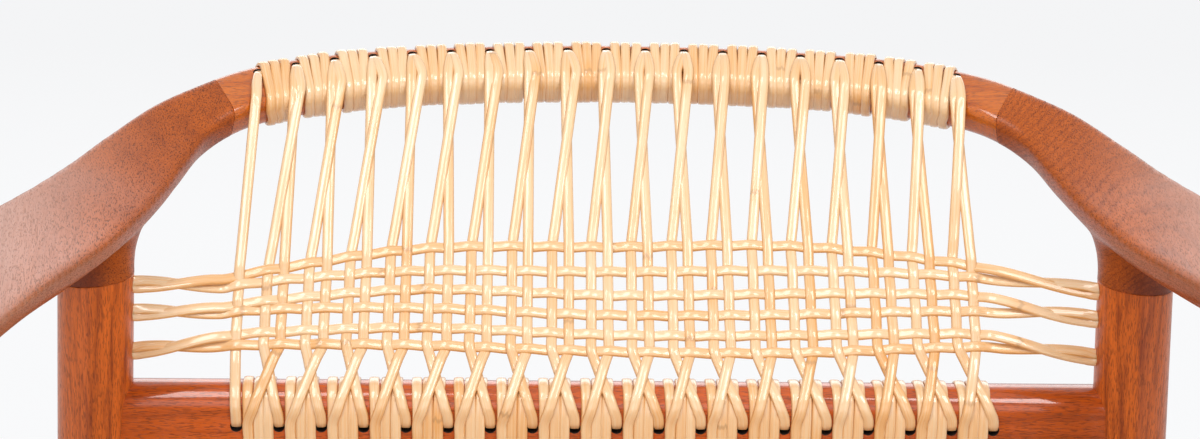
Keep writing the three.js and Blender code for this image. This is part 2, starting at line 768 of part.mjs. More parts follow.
// Below them it crosses again and goes over the back rail: one strand runs down to a hole, the
// other becomes the first of the three strands wound round the rail
pairs.forEach(({ railAt, shifts }, pair) => {
  const hole = backRailHeight / 2 - railHoleDrop;
  const holeCorner = (distance) => {
    const out = -backRailThickness / 2 - netLift;
    return netCorner(
      backRailPoint(distance, new THREE.Vector2(out - strandThickness / 2, hole)),
      backRailPoint(distance, new THREE.Vector2(out + strandThickness / 2, hole)),
    );
  };
  if (shifts.length === 1) {
    let [left, right] = columns[0][levels - 1];
    [shoulderIndex, faceIndex].forEach((corner) => {
      const next = [-1, 1].map((edge) => railCorner(railAt + (edge * strandWidth) / 2, corner));
      netCell(left, next[0], next[1], right);
      [left, right] = next;
    });
    const end = [-1, 1].map((edge) => holeCorner(railAt + (edge * strandWidth) / 2));
    netCell(left, end[0], end[1], right);
    return;
  }
  const [leftLeft, leftRight] = columns[2 * pair - 1][levels - 1];
  const [rightLeft, rightRight] = columns[2 * pair][levels - 1];
  const rightward = railHoleAt(pair) - railAt;
  const leftward = railHoleAt(pair - 1) + strandWidth / 2 - railAt;
  const path = (from, to, share) => from + (to - from) * share;
  const low = levelShare(levels - 1, railAt);
  const onShoulder = [
    path(-pairGap / 2, rightward, shoulderShare),
    path(pairGap / 2, leftward, shoulderShare),
  ];
  const closing = pairGap + onShoulder[0] - onShoulder[1];
  const at = (way, edge) => {
    const middle = path(-pairGap / 2, onShoulder[0], way);
    return flatCorner(hangPoint(railAt + middle + edge, railAt + middle + edge, low * (1 - way)));
  };
  const fork = at((pairGap - strandWidth) / closing, strandWidth / 2);
  const waistLeft = at(pairGap / closing, -strandWidth / 2);
  const waistRight = at(pairGap / closing, strandWidth / 2);
  const shoulderLeft = railCorner(railAt + onShoulder[1] - strandWidth / 2, shoulderIndex);
  const shoulderRight = railCorner(railAt + onShoulder[0] + strandWidth / 2, shoulderIndex);
  const frontMiddle = railAt + path(-pairGap / 2, rightward, frontShare) - strandWidth / 2;
  const frontLeft = railCorner(frontMiddle - strandWidth, faceIndex);
  const frontFork = railCorner(frontMiddle, faceIndex);
  const frontRight = railCorner(frontMiddle + strandWidth, faceIndex);
  netCell(leftLeft, waistLeft, fork, leftRight);
  netCell(rightLeft, fork, waistRight, rightRight);
  netCell(fork, waistLeft, waistRight);
  netCell(waistLeft, shoulderLeft, shoulderRight, waistRight);
  netCell(shoulderLeft, frontLeft, frontFork, frontRight, shoulderRight);
  const ends = [-1, 1].map((edge) => holeCorner(railAt + rightward + (edge * strandWidth) / 2));
  netCell(frontFork, ends[0], ends[1], frontRight);
});

// Beyond the outer strands the cross strands run two and two into holes of the rear legs
function postHole(name, drop) {
  const s = sides[name];
  const centre = legCentre(`rear_leg_${name}`, jointHeight - drop);
  return {
    mouth: centre.clone().setX(centre.x - s * legRadius),
    end: centre.clone().setX(centre.x - s * (legRadius - weftHoleDepth)),
  };
}

Object.entries(sides).forEach(([name, s]) => weftHoleDrops.forEach((drop, k) => {
  const { mouth, end } = postHole(name, drop);
  const column = s < 0 ? columns[0] : columns[columns.length - 1];
  const edge = s < 0 ? 0 : 1;
  const rows = [0, 1, 2, 3].map((level) => column[4 * k + level][edge]);
  const between = (a, b, share) => a.clone().lerp(b, share);
  const inner = net.front[rows[1]].clone().lerp(net.back[rows[2]], 0.5);
  const cornerAt = (point, rise) => {
    const raised = point.clone().setZ(point.z + rise);
    return netCorner(
      raised.clone().setY(raised.y - strandThickness / 2),
      raised.clone().setY(raised.y + strandThickness / 2),
    );
  };
  const fork = cornerAt(between(inner, mouth, forkShare), 0);
  const mouthTop = cornerAt(mouth, strandWidth / 2);
  const mouthLow = cornerAt(mouth, -strandWidth / 2);
  const endTop = cornerAt(between(end, mouth, clearance / weftHoleDepth), strandWidth / 2);
  const endLow = cornerAt(between(end, mouth, clearance / weftHoleDepth), -strandWidth / 2);
  const turned = (corners) => netCell(...(s < 0 ? corners : corners.reverse()));
  turned([rows[0], mouthTop, fork, rows[1]]);
  turned([rows[2], fork, mouthLow, rows[3]]);
  turned([mouthTop, mouthLow, fork]);
  turned([mouthTop, endTop, endLow, mouthLow]);
}));

// Pieces, in the order in which the chair is put together
const legBlanks = {};
Object.entries(legPlaces).forEach(([name, { foot, top }]) => {
  const past = name.startsWith('rear') ? legRadius : 0;
  legBlanks[name] = (grow, count) => legSolid(foot, top, { grow, past, sides: count });
});

const bladeEnvelopes = {
  left: solidOf(loft(bladeRings(-1, clearance))),
  right: solidOf(loft(bladeRings(1, clearance))),
};

Object.entries(sides).forEach(([name, s]) => {
  const rear = `rear_leg_${name}`;
  let leg = legBlanks[rear](0).subtract(jointBlock(s, 1)).subtract(armTenon(s, clearance));
  weftHoleDrops.forEach((drop) => {
    const { mouth, end } = postHole(name, drop);
    mouth.x -= s * overrun;
    leg = leg.subtract(bar(mouth, end, weftHoleDiameter / 2, dowelSides));
  });
  Object.values(rails).forEach((rail) => {
    const end = rail.legs.indexOf(rear);
    if (end >= 0) leg = leg.subtract(tenonSolid(rail, end, clearance));
  });
  addPiece(rear, leg, 'teak');

  const front = `front_leg_${name}`;
  leg = legBlanks[front](0).subtract(bladeEnvelopes[name]).add(legTenon(front, 0));
  Object.values(rails).forEach((rail) => {
    const end = rail.legs.indexOf(front);
    if (end >= 0) leg = leg.subtract(tenonSolid(rail, end, clearance));
  });
  addPiece(front, leg, 'teak');
});

Object.entries(rails).forEach(([name, rail]) => {
  let solid = railBlank(rail);
  rail.legs.forEach((leg, end) => {
    solid = solid.subtract(legBlanks[leg](clearance)).add(tenonSolid(rail, end, 0));
  });
  if (name === 'back_rail') {
    for (let i = 0; i < holeCount; i += 1) {
      const distance = railHoleAt(i);
      const height = backRailHeight / 2 - railHoleDrop;
      const reach = backRailThickness / 2 + overrun;
      solid = solid.subtract(bar(
        backRailPoint(distance, new THREE.Vector2(-reach, height)),
        backRailPoint(distance, new THREE.Vector2(reach, height)),
        holeDiameter / 2,
        holeSides,
      ));
    }
  }
  addPiece(name, solid, 'teak');
});

let crest = solidOf(loft(bowBetween(
  -jointStationIndex + clearance / 2 / stationLength(jointStationIndex),
  jointStationIndex - clearance / 2 / stationLength(jointStationIndex),
  crestSteps,
)));
for (let i = 0; i < holeCount; i += 1) {
  const ring = bowRing(stationAt(crestHoleAt(i)));
  const edge = ring[backIndex];
  const across = ring[frontIndex].clone().sub(edge).normalize();
  const down = ring[bottomIndex].clone().sub(edge).projectOnPlane(across).normalize();
  const middle = edge.clone().addScaledVector(across, holeDiameter / 2);
  crest = crest.subtract(bar(
    middle.clone().addScaledVector(down, -overrun),
    middle.clone().addScaledVector(down, bladeThickness + overrun),
    holeDiameter / 2,
    holeSides,
  ));
}
Object.values(sides).forEach((s) => {
  crest = crest.subtract(dowelSolid(s, clearance));
});
addPiece('crest_rail', crest, 'teak');

Object.entries(sides).forEach(([name, s]) => {
  addPiece(`crest_dowel_${name}`, dowelSolid(s, 0), 'teak');
  const arm = solidOf(loft(bladeRings(s, 0)))
    .add(neckSolid(s))
    .subtract(jointBlock(s, -1))
    .add(armTenon(s, 0))
    .subtract(dowelSolid(s, clearance))
    .subtract(legTenon(`front_leg_${name}`, clearance));
  addPiece(`arm_${name}`, arm, 'teak');
});

const crestWinding = winding(crestSurface, crestHoleAt, crestCorners, crestRampCount);
const railWinding = winding(backRailSurface, railHoleAt, railCorners, railRampCount);
console.log(`least gap of the crest winding to itself ${leastGap(crestWinding, crestCorners).toFixed(2)} mm`);
console.log(`least gap of the rail winding to itself ${leastGap(railWinding, railCorners).toFixed(2)} mm`);
addPiece('crest_cane_winding', loft(crestWinding), 'cane');
addPiece('back_rail_cane_winding', loft(railWinding), 'cane');

addPiece('back_cane_lacing', netGeometry(), 'cane');

// Seat: woven cane, a sleeve round each seat rail and a sheet between them that hangs in the middle
const seatCorners = ['rear_leg_left', 'front_leg_left', 'front_leg_right', 'rear_leg_right']
  .map((name) => legCentre(name, name.startsWith('rear') ? seatRearMid : seatFrontMid));
const sleeve = clearance + seatCaneThickness;
const sleeveReach = seatRailThickness / 2 + sleeve;
const sleeveTop = seatRailHeight / 2 + sleeve;

function seatPrism(grow, low, high) {
  const plan = seatCorners.map((corner) => new THREE.Vector2(corner.x, corner.y));
  const shape = new THREE.Shape(offsetOutline(plan, grow));
  const geometry = new THREE.ExtrudeGeometry(shape, { depth: high - low, bevelEnabled: false });
  geometry.translate(0, 0, low);
  const [rear, front] = seatCorners;
  const slope = (front.z - rear.z) / (front.y - rear.y);
  geometry.applyMatrix4(new THREE.Matrix4().set(
    1, 0, 0, 0,
    0, 1, 0, 0,
    0, slope, 1, rear.z - slope * rear.y,
    0, 0, 0, 1,
  ));
  return solidOf(geometry);
}

const sheetSteps = 8;
const sagPower = 4; // the seat is nearly flat in its middle and rises near the rails

// Share of the sag at a share of the way across the seat
const sagShare = (share) => 1 - Math.abs(2 * share - 1) ** sagPower;

function seatSheet() {
  const [rearLeft, frontLeft, frontRight, rearRight] = seatCorners;
  const rings = [];
  for (let i = 0; i <= sheetSteps; i += 1) {
    const u = i / sheetSteps;
    const rear = rearLeft.clone().lerp(rearRight, u);
    const front = frontLeft.clone().lerp(frontRight, u);
    const upper = [];
    for (let k = 0; k <= sheetSteps; k += 1) {
      const v = k / sheetSteps;
      const point = rear.clone().lerp(front, v);
      upper.push(point.setZ(point.z + sleeveTop - seatSag * sagShare(u) * sagShare(v)));
    }
    const lower = upper.map((point) => point.clone().setZ(point.z - seatCaneThickness)).reverse();
    rings.push([...upper, ...lower]);
  }
  return solidOf(loft(rings));
}

let seat = seatPrism(sleeveReach, -sleeveTop, sleeveTop)
  .subtract(seatPrism(-sleeveReach, -sleeveTop - overrun, sleeveTop + overrun))
  .add(seatSheet());
Object.values(rails).filter((rail) => rail !== backRail).forEach((rail) => {
  seat = seat.subtract(railBlank(rail, clearance));
});
Object.values(legBlanks).forEach((blank) => {
  seat = seat.subtract(blank(seatNotch, dowelSides));
});
addPiece('seat_cane', seat, 'cane');

// The origin is on the floor, under the middle of the chair
const box = new THREE.Box3().setFromObject(chair);
chair.position.set(-(box.min.x + box.max.x) / 2, -(box.min.y + box.max.y) / 2, -box.min.z);

export default chair;
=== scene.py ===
# Low lounge armchair in teak with a back and seat of cane. Metres, +Z up, the sitter faces -Y.
import math
import random

import bmesh
import bpy
import numpy as np
from mathutils import Matrix, Vector


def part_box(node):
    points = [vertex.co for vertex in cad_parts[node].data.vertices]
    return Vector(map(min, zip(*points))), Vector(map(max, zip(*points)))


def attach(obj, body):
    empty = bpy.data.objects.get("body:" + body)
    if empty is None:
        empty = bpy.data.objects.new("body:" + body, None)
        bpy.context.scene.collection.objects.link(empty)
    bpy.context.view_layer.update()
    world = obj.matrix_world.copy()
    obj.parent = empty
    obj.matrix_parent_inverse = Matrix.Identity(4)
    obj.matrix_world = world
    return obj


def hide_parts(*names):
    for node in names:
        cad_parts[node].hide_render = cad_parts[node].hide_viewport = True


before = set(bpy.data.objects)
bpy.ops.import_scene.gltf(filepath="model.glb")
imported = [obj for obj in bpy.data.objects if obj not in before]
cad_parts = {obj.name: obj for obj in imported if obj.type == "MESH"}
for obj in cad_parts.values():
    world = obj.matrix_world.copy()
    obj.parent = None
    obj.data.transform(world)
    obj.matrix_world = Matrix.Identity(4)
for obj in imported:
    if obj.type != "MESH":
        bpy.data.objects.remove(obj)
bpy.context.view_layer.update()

# The studio: a pale floor under soft even light, and a camera in front of the chair that looks a
# little down on the crest rail. The middle of the two joints between arm and rear leg is the point
# that the camera is set out from.
joint_height = 0.510
joint_spacing = 0.552
rear_rake = 0.030
rail_low, rail_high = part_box("back_rail")
rail_middle = (rail_low + rail_high) / 2
joint_y = rail_middle.y - rear_rake * (1 - rail_middle.z / joint_height)

image_width, image_height = 1200, 439
anchor = Vector((0, joint_y, joint_height))
anchor_pixel = (619, 280)
camera_distance = 1.5
metres_per_pixel = 0.0005306
camera_down, camera_swing, camera_roll = (math.radians(a) for a in (16.5, 2.16, 1.10))

sideways = (anchor_pixel[0] - image_width / 2) * metres_per_pixel
downways = (anchor_pixel[1] - image_height / 2) * metres_per_pixel
facing = Matrix.Rotation(-camera_swing, 4, "Z") @ Matrix.Rotation(math.pi / 2 - camera_down, 4, "X")
facing = facing @ Matrix.Rotation(camera_roll, 4, "Z")

lens = bpy.data.cameras.new("camera")
lens.sensor_fit = "HORIZONTAL"
lens.sensor_width = 36
lens.lens = lens.sensor_width * camera_distance / (metres_per_pixel * image_width)
camera = bpy.data.objects.new("camera", lens)
camera.matrix_world = (
    Matrix.Translation(anchor) @ facing @ Matrix.Translation((-sideways, downways, camera_distance)))
bpy.context.scene.collection.objects.link(camera)
bpy.context.scene.camera = camera
bpy.context.scene.view_settings.view_transform = "Standard"


class Wiring:
    """A node tree to add nodes to. Each input of a node is a value or another node's output."""

    def __init__(self, tree):
        self.tree = tree

    def node(self, kind, inputs=None, **settings):
        made = self.tree.nodes.new(kind)
        for name, value in settings.items():
            setattr(made, name, value)
        for key, value in (inputs or {}).items():
            if isinstance(value, bpy.types.NodeSocket):
                self.tree.links.new(value, made.inputs[key])
            else:
                made.inputs[key].default_value = value
        return made

    def first(self, kind, inputs=None, **settings):
        """The first output of a new node."""
        return self.node(kind, inputs, **settings).outputs[0]

    def maths(self, operation, a, b=0.0, clamp=False):
        return self.first("ShaderNodeMath", {0: a, 1: b}, operation=operation, use_clamp=clamp)

    def times(self, a, b):
        return self.maths("MULTIPLY", a, b)

    def plus(self, a, b, clamp=False):
        return self.maths("ADD", a, b, clamp)

    def seen_directly(self):
        """1 for rays that show the background: from the camera, in gloss and through glass."""
        path = self.node("ShaderNodeLightPath").outputs
        seen = self.plus(path["Is Camera Ray"], path["Is Glossy Ray"])
        return self.plus(seen, path["Is Transmission Ray"], clamp=True)


def new_finish(name, wiring=Wiring):
    """A material, and the wiring of its empty node tree."""
    made = bpy.data.materials.new(name)
    made.use_nodes = True
    made.node_tree.nodes.clear()
    return made, wiring(made.node_tree)


paper_white = (0.925, 0.931, 0.942, 1)
floor_white = (0.975, 0.980, 0.992, 1)
air_strength = 0.50
world = bpy.data.worlds.new("studio air")
world.use_nodes = True
world.node_tree.nodes.clear()
air = Wiring(world.node_tree)
lit = air.first("ShaderNodeBackground", {"Color": (1, 1, 1, 1), "Strength": air_strength})
shown = air.first("ShaderNodeBackground", {"Color": paper_white, "Strength": 1.0})
mixed = air.first("ShaderNodeMixShader", {0: air.seen_directly(), 1: lit, 2: shown})
air.node("ShaderNodeOutputWorld", {"Surface": mixed})
bpy.context.scene.world = world

floor_reach = 6
floor_glow_share = 0.86
bpy.ops.mesh.primitive_plane_add(size=2 * floor_reach)
floor = bpy.context.object
floor.name = "floor"
pale, matt = new_finish("pale floor")
paint = matt.first("ShaderNodeBsdfDiffuse", {"Color": (0.86, 0.865, 0.87, 1)})
glow = matt.first("ShaderNodeEmission", {"Color": floor_white, "Strength": 1.0})
share = matt.times(matt.seen_directly(), floor_glow_share)
matt.node("ShaderNodeOutputMaterial", {
    "Surface": matt.first("ShaderNodeMixShader", {0: share, 1: paint, 2: glow})})
floor.data.materials.append(pale)


def softbox(name, azimuth, elevation, distance, width, height, power):
    """An upright lamp that looks at the chair's back; azimuth 0 is in front, more is to the right."""
    lamp = bpy.data.lights.new(name, "AREA")
    lamp.shape = "RECTANGLE"
    lamp.size, lamp.size_y = width, height
    lamp.energy = power
    held = bpy.data.objects.new(name, lamp)
    turn, lift = math.radians(azimuth), math.radians(elevation)
    held.location = anchor + distance * Vector((
        math.cos(lift) * math.sin(turn), -math.cos(lift) * math.cos(turn), math.sin(lift)))
    held.rotation_mode = "QUATERNION"
    held.rotation_quaternion = (anchor - held.location).to_track_quat("-Z", "Y")
    held.visible_camera = False
    bpy.context.scene.collection.objects.link(held)


softbox("right softbox", 30, 45, 1.9, 0.50, 0.80, 14)
softbox("left softbox", -26, 54, 1.9, 0.50, 1.20, 16)
softbox("front fill", 0, 9, 2.6, 2.4, 1.2, 11)
softbox("rear softbox", 180, 20, 2.4, 3.2, 0.70, 14)

# The rear legs are turned in teak: straight in their upper part, tapered to the foot, and leaning
# out and back. Each is tenoned into the arm that stands on it, and three holes in its inner side
# take the ends of the cross strands.
leg_radius = 0.020
foot_radius = 0.0135
taper_height = 0.300
foot_round = 0.003
rear_splay = 0.022
joint_tilt = math.radians(4)
leg_sides = 64
leg_taper = [(0, 1), (0.35, 0.62), (0.7, 0.2), (1, 0)]
weft_drops = (0.0045, 0.0205, 0.0425)
weft_hole_radius = 0.0033
weft_hole_depth = 0.009
sides = {"left": -1, "right": 1}
teak_light = (0.620, 0.145, 0.022, 1)
teak_dark = (0.270, 0.046, 0.008, 1)
pore_soot = (0.095, 0.020, 0.004, 1)
# How dark the neck gets: partly its end grain and partly painted shade under the blade
end_grain_and_shade_share = 0.60
# Share of the paler tone painted on the arms' tops as a painted sheen
painted_sheen_share = 0.72


class Figured(Wiring):
    """The wiring of a finish that has a figure, such as grain or fibres."""

    def blend(self, share, a, b):
        """Colour a, and b where the share is 1."""
        mixed = self.node("ShaderNodeMix", {"Factor": share, "A": a, "B": b}, data_type="RGBA")
        return mixed.outputs["Result"]

    def soft_step(self, value, low, high, top=1.0):
        """0 at low, and top at high and past it."""
        return self.first("ShaderNodeMapRange", {
            "Value": value, "From Min": low, "From Max": high, "To Max": top,
        }, interpolation_type="SMOOTHSTEP")

    def noise(self, place, detail, rough=0.5):
        return self.first("ShaderNodeTexNoise", {
            "Vector": place, "Scale": 1.0, "Detail": detail, "Roughness": rough})

    def weighed(self, *parts):
        """Sum of the parts, each a value and its weight, held between 0 and 1."""
        total = self.times(*parts[0])
        for value, weight in parts[1:]:
            total = self.plus(total, self.times(value, weight))
        total.node.use_clamp = True
        return total


def open_sockets(tree, way, sockets):
    """Named inputs or outputs of a group, each with its kind and its value where none is given."""
    for name, kind, *value in sockets:
        socket = tree.interface.new_socket(name, in_out=way, socket_type=f"NodeSocket{kind}")
        if value:
            socket.default_value = value[0]


def teak_grain_group():
    """Growth rings, fibres and open pores of teak sawn along its own Z. Gives colour, gloss, height."""
    group = bpy.data.node_groups.new("teak grain", "ShaderNodeTree")
    open_sockets(group, "INPUT", (
        ("Vector", "Vector"), ("Light", "Color", teak_light), ("Dark", "Color", teak_dark),
        ("Ring Width", "Float", 0.006), ("Ring Share", "Float", 0.5), ("Ring Power", "Float", 2.2),
        ("Ring Wander", "Float", 1.7), ("Streak Share", "Float", 0.25), ("Pore Share", "Float", 0.6),
        ("End Share", "Float", 0.0), ("Gloss", "Float", 0.3)))
    open_sockets(group, "OUTPUT", (("Color", "Color"), ("Roughness", "Float"), ("Height", "Float")))
    wood = Figured(group)
    given = wood.node("NodeGroupInput").outputs

    def stretched(stretch):
        return wood.node("ShaderNodeVectorMath", {0: given["Vector"], 1: stretch}, operation="MULTIPLY")

    def noise(stretch, detail=3.0, rough=0.55):
        return wood.noise(stretched(stretch).outputs[0], detail, rough)

    flat = stretched((1, 1, 0.03)).outputs[0]
    radius = wood.node("ShaderNodeVectorMath", {0: flat}, operation="LENGTH").outputs["Value"]
    wander = wood.times(noise((26, 26, 4.5), 4.0, 0.62), given["Ring Wander"])
    phase = wood.plus(wood.maths("DIVIDE", radius, given["Ring Width"]), wander)
    wave = wood.maths("SINE", wood.times(phase, 2 * math.pi))
    ring = wood.maths("POWER", wood.plus(wood.times(wave, 0.5), 0.5), given["Ring Power"])
    fibre = wood.soft_step(noise((900, 900, 22)), 0.35, 0.68)
    streak = wood.soft_step(noise((330, 330, 8)), 0.46, 0.66)
    tone = wood.soft_step(noise((34, 34, 5), 2.0), 0.3, 0.7)
    pore = wood.soft_step(noise((1900, 1900, 210), 1.0, 0.5), 0.53, 0.63)
    pore = wood.times(pore, given["Pore Share"])
    # The end input darkens the wood for end grain and for painted shade
    darkness = wood.weighed((ring, given["Ring Share"]), (streak, given["Streak Share"]), (fibre, 0.22),
                            (given["End Share"], 1.0), (tone, 0.25))
    body = wood.blend(darkness, given["Light"], given["Dark"])
    gloss = wood.plus(given["Gloss"], wood.times(fibre, 0.07))
    wood.node("NodeGroupOutput", {
        "Color": wood.blend(wood.times(pore, 0.80), body, pore_soot),
        "Roughness": wood.plus(gloss, wood.times(pore, 0.15)),
        "Height": wood.maths("SUBTRACT", wood.times(fibre, 0.12), pore)})
    return group


teak_grain = teak_grain_group()


def teak(name, turn, pith, ior=1.38, coat=0.15, coat_roughness=0.22, end_grain_and_shade=None, painted_sheen=None,
         **figure):
    """Oiled teak whose grain runs along the piece: turn lays local Z along it, pith is its heart.

    The figure is what the grain group takes. A zone is the height where it starts, the height where
    it is whole, and the same as places from side to side: end grain is one where the wood is darker,
    partly the end grain of a round neck and partly painted shade under the blade, and the sheen is a
    paler tone painted on as a painted sheen, and the zone that has it.
    """
    made, wood = new_finish(name, Figured)
    place = wood.node("ShaderNodeTexCoord").outputs["Object"]
    laid = wood.first("ShaderNodeMapping", {"Vector": place, "Location": pith, "Rotation": turn},
                      vector_type="TEXTURE")
    spot = wood.node("ShaderNodeSeparateXYZ", {0: place}).outputs
    beside = wood.maths("ABSOLUTE", spot["X"])

    def within(start, whole, side_start, side_whole, share):
        level = wood.soft_step(spot["Z"], start, whole, share)
        return wood.times(level, wood.soft_step(beside, side_start, side_whole))

    settings = {key.replace("_", " ").title(): value for key, value in figure.items()}
    # Darker low on the neck's outer side: end grain, and painted shade under the blade
    if end_grain_and_shade:
        settings["End Share"] = within(*end_grain_and_shade, end_grain_and_shade_share)
    grain = wood.node("ShaderNodeGroup", {"Vector": laid, **settings}, node_tree=teak_grain).outputs
    shade = grain["Color"]
    # A paler tone painted over its zone as a painted sheen
    if painted_sheen:
        tone, zone = painted_sheen
        shade = wood.blend(within(*zone, painted_sheen_share), shade, tone)
    bump = wood.first("ShaderNodeBump", {
        "Height": grain["Height"], "Strength": 0.35, "Distance": 0.0004})
    skin = wood.first("ShaderNodeBsdfPrincipled", {
        "Base Color": shade, "Roughness": grain["Roughness"], "Normal": bump, "IOR": ior,
        "Coat Weight": coat, "Coat Roughness": coat_roughness})
    wood.node("ShaderNodeOutputMaterial", {"Surface": skin})
    return made


def mesh_piece(name, rings, material=None):
    """A skin over rings of equal count with a flat cap at each end."""
    made = bmesh.new()
    loops = [[made.verts.new(p) for p in ring] for ring in rings]
    for one, two in zip(loops, loops[1:]):
        for k in range(len(one)):
            made.faces.new((one[k - 1], one[k], two[k], two[k - 1]))
    made.faces.new(loops[0][::-1])
    made.faces.new(loops[-1])
    bmesh.ops.recalc_face_normals(made, faces=made.faces)
    mesh = bpy.data.meshes.new(name)
    made.to_mesh(mesh)
    made.free()
    piece = bpy.data.objects.new(name, mesh)
    bpy.context.scene.collection.objects.link(piece)
    if material:
        mesh.materials.append(material)
    return piece


def smooth_over(piece, angle=40):
    """Round faces shade smooth, and edges sharper than the angle stay crisp."""
    mesh = piece.data
    mesh.polygons.foreach_set("use_smooth", [True] * len(mesh.polygons))
    mesh.set_sharp_from_angle(angle=math.radians(angle))


def settle(piece):
    """Applies the modifiers of a piece to its mesh."""
    bpy.context.view_layer.update()
    ready = piece.evaluated_get(bpy.context.evaluated_depsgraph_get())
    old = piece.data
    piece.data = bpy.data.meshes.new_from_object(ready)
    piece.modifiers.clear()
    bpy.data.meshes.remove(old)


def cut_away(piece, cutters, operation="DIFFERENCE"):
    """Cuts the cutters out of a piece, or joins them to it, and removes them."""
    for cutter in cutters:
        step = piece.modifiers.new("cut", "BOOLEAN")
        step.operation = operation
        step.solver = "EXACT"
        step.object = cutter
    settle(piece)
    for cutter in cutters:
        bpy.data.objects.remove(cutter)


def leg_radius_at(height):
    taper = np.interp(height / taper_height, *zip(*leg_taper))
    return leg_radius - taper * (leg_radius - foot_radius)


def leg_centre(name, height):
    """Middle of a leg at a height above the floor."""
    foot, top = leg_lines[name]
    return foot.lerp(top, height / top.z)


def ring_round(centre, radius, count=leg_sides):
    turns = [2 * math.pi * k / count for k in range(count)]
    return [centre + Vector((radius * math.cos(a), radius * math.sin(a), 0)) for a in turns]


def leg_rings(name, top_height):
    """Level rings of a leg, with a rounded rim at the foot."""
    foot_steps, shaft_steps = 5, 40
    levels = []
    for k in range(foot_steps + 1):
        angle = math.pi / 2 * k / foot_steps
        height = foot_round * (1 - math.cos(angle))
        levels.append((height, foot_radius - foot_round * (1 - math.sin(angle))))
    for k in range(1, shaft_steps + 1):
        height = foot_round + (top_height - foot_round) * k / shaft_steps
        levels.append((height, leg_radius_at(height)))
    return [ring_round(leg_centre(name, height), radius) for height, radius in levels]


leg_lines = {}
for name, s in sides.items():
    top = Vector((s * joint_spacing / 2, joint_y, joint_height))
    leg_lines[f"rear_leg_{name}"] = (Vector((top.x + s * rear_splay, top.y + rear_rake, 0)), top)

# Inside the drilled holes the wood is painted nearly black, as painted shade
bore_painted_shade, bore_shade = new_finish("painted shade in bores", Figured)
bore_shade_grain = bore_shade.first("ShaderNodeTexNoise", {"Scale": 900.0, "Detail": 2.0})
bore_shade_tone = bore_shade.blend(bore_shade_grain, (0.010, 0.005, 0.003, 1), (0.035, 0.016, 0.009, 1))
bore_shade_skin = bore_shade.first("ShaderNodeBsdfPrincipled", {"Base Color": bore_shade_tone, "Roughness": 0.8})
bore_shade.node("ShaderNodeOutputMaterial", {"Surface": bore_shade_skin})
joint_chamfer = 0.0004


def trim_above(piece, point, normal):
    """Cuts a piece off where it passes a plane and closes it there, with a fine chamfer."""
    made = bmesh.new()
    made.from_mesh(piece.data)
    everything = made.verts[:] + made.edges[:] + made.faces[:]
    cut = bmesh.ops.bisect_plane(
        made, geom=everything, plane_co=point, plane_no=normal, clear_outer=True)
    rim = [edge for edge in cut["geom_cut"] if isinstance(edge, bmesh.types.BMEdge)]
    bmesh.ops.contextual_create(made, geom=rim)
    bmesh.ops.bevel(made, geom=rim, offset=joint_chamfer, segments=1, affect="EDGES")
    made.to_mesh(piece.data)
    made.free()


def drill(start, end, radius, count=24):
    """A round cutter from one point to another, whose faces left in a hole are painted nearly black as
    shade.
    """
    turned = (end - start).normalized().to_track_quat("Z", "Y")
    rim = [turned @ p for p in ring_round(Vector(), radius, count)]
    return mesh_piece("cutter", [[start + p for p in rim], [end + p for p in rim]], bore_painted_shade)


for name, s in sides.items():
    node = f"rear_leg_{name}"
    finish = teak(f"teak of {node}", (0, 0, 0), (s * 0.24, joint_y + 0.05, 0),
                  light=(0.750, 0.162, 0.018, 1), ring_width=0.0075, ring_share=0.30, ring_power=4,
                  streak_share=0.36)
    leg = mesh_piece(f"{node}_turned", leg_rings(node, joint_height + leg_radius), finish)
    joint = leg_lines[node][1]
    trim_above(leg, joint, Vector((s * math.sin(joint_tilt), 0, math.cos(joint_tilt))))
    bores = []
    for drop in weft_drops:
        centre = leg_centre(node, joint_height - drop)
        inner = centre - Vector((s * (leg_radius - weft_hole_depth), 0, 0))
        bores.append(drill(inner, inner - Vector((s * 2 * weft_hole_depth, 0, 0)), weft_hole_radius))
    leg.data.materials.append(bore_painted_shade)
    cut_away(leg, bores)
    smooth_over(leg)
    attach(leg, "root")
    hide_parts(node)

# The front legs are turned to the same pattern and tenoned into the underside of the arms.
# They stand a little wider apart than the rear legs and lean forwards.
front_side = 0.322
front_forward = 0.384
front_splay = 0.014
front_rake = 0.012
arm_top = 0.561
blade_thickness = 0.025
for name, s in sides.items():
    node = f"front_leg_{name}"
    top = Vector((s * front_side, joint_y - front_forward, arm_top - blade_thickness / 2))
    leg_lines[node] = (Vector((top.x + s * front_splay, top.y - front_rake, 0)), top)
    finish = teak(f"teak of {node}", (0, 0, 0), (s * 0.29, joint_y - 0.30, 0), ring_width=0.007)
    leg = mesh_piece(f"{node}_turned", leg_rings(node, top.z - blade_thickness / 4), finish)
    smooth_over(leg)
    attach(leg, "root")
    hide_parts(node)

# The rails are straight teak bars with rounded upper edges, coped to the round legs and tenoned
# into them. The back rail is deeper, and a row of 19 holes below its shoulder takes the strands.
back_rail_size = (0.026, 0.058, 0.011)
seat_rail_size = (0.026, 0.036, 0.009)
seat_front_top = 0.372
seat_rear_top = 0.346
rail_corner_steps = 7
rail_steps = 24
rail_inset = 0.010
rail_hole_count = 19
rail_hole_pitch = 0.02256
rail_hole_drop = 0.021
rail_hole_radius = 0.0033
rail_bore_reach = 0.02


def rail_outline(size, grow=0.0):
    """Section of a rail, side by rise, from its rear side over the top to the front and under."""
    thickness, height, rounding = size
    points = []
    for quarter, (side, rise) in enumerate(((1, 1), (-1, 1), (-1, -1), (1, -1))):
        soft = rounding if rise > 0 else rounding * 0.6
        for k in range(rail_corner_steps + 1):
            angle = math.pi / 2 * (quarter + k / rail_corner_steps)
            points.append((
                side * (thickness / 2 - soft) + (soft + grow) * math.cos(angle),
                rise * (height / 2 - soft) + (soft + grow) * math.sin(angle),
            ))
    return points


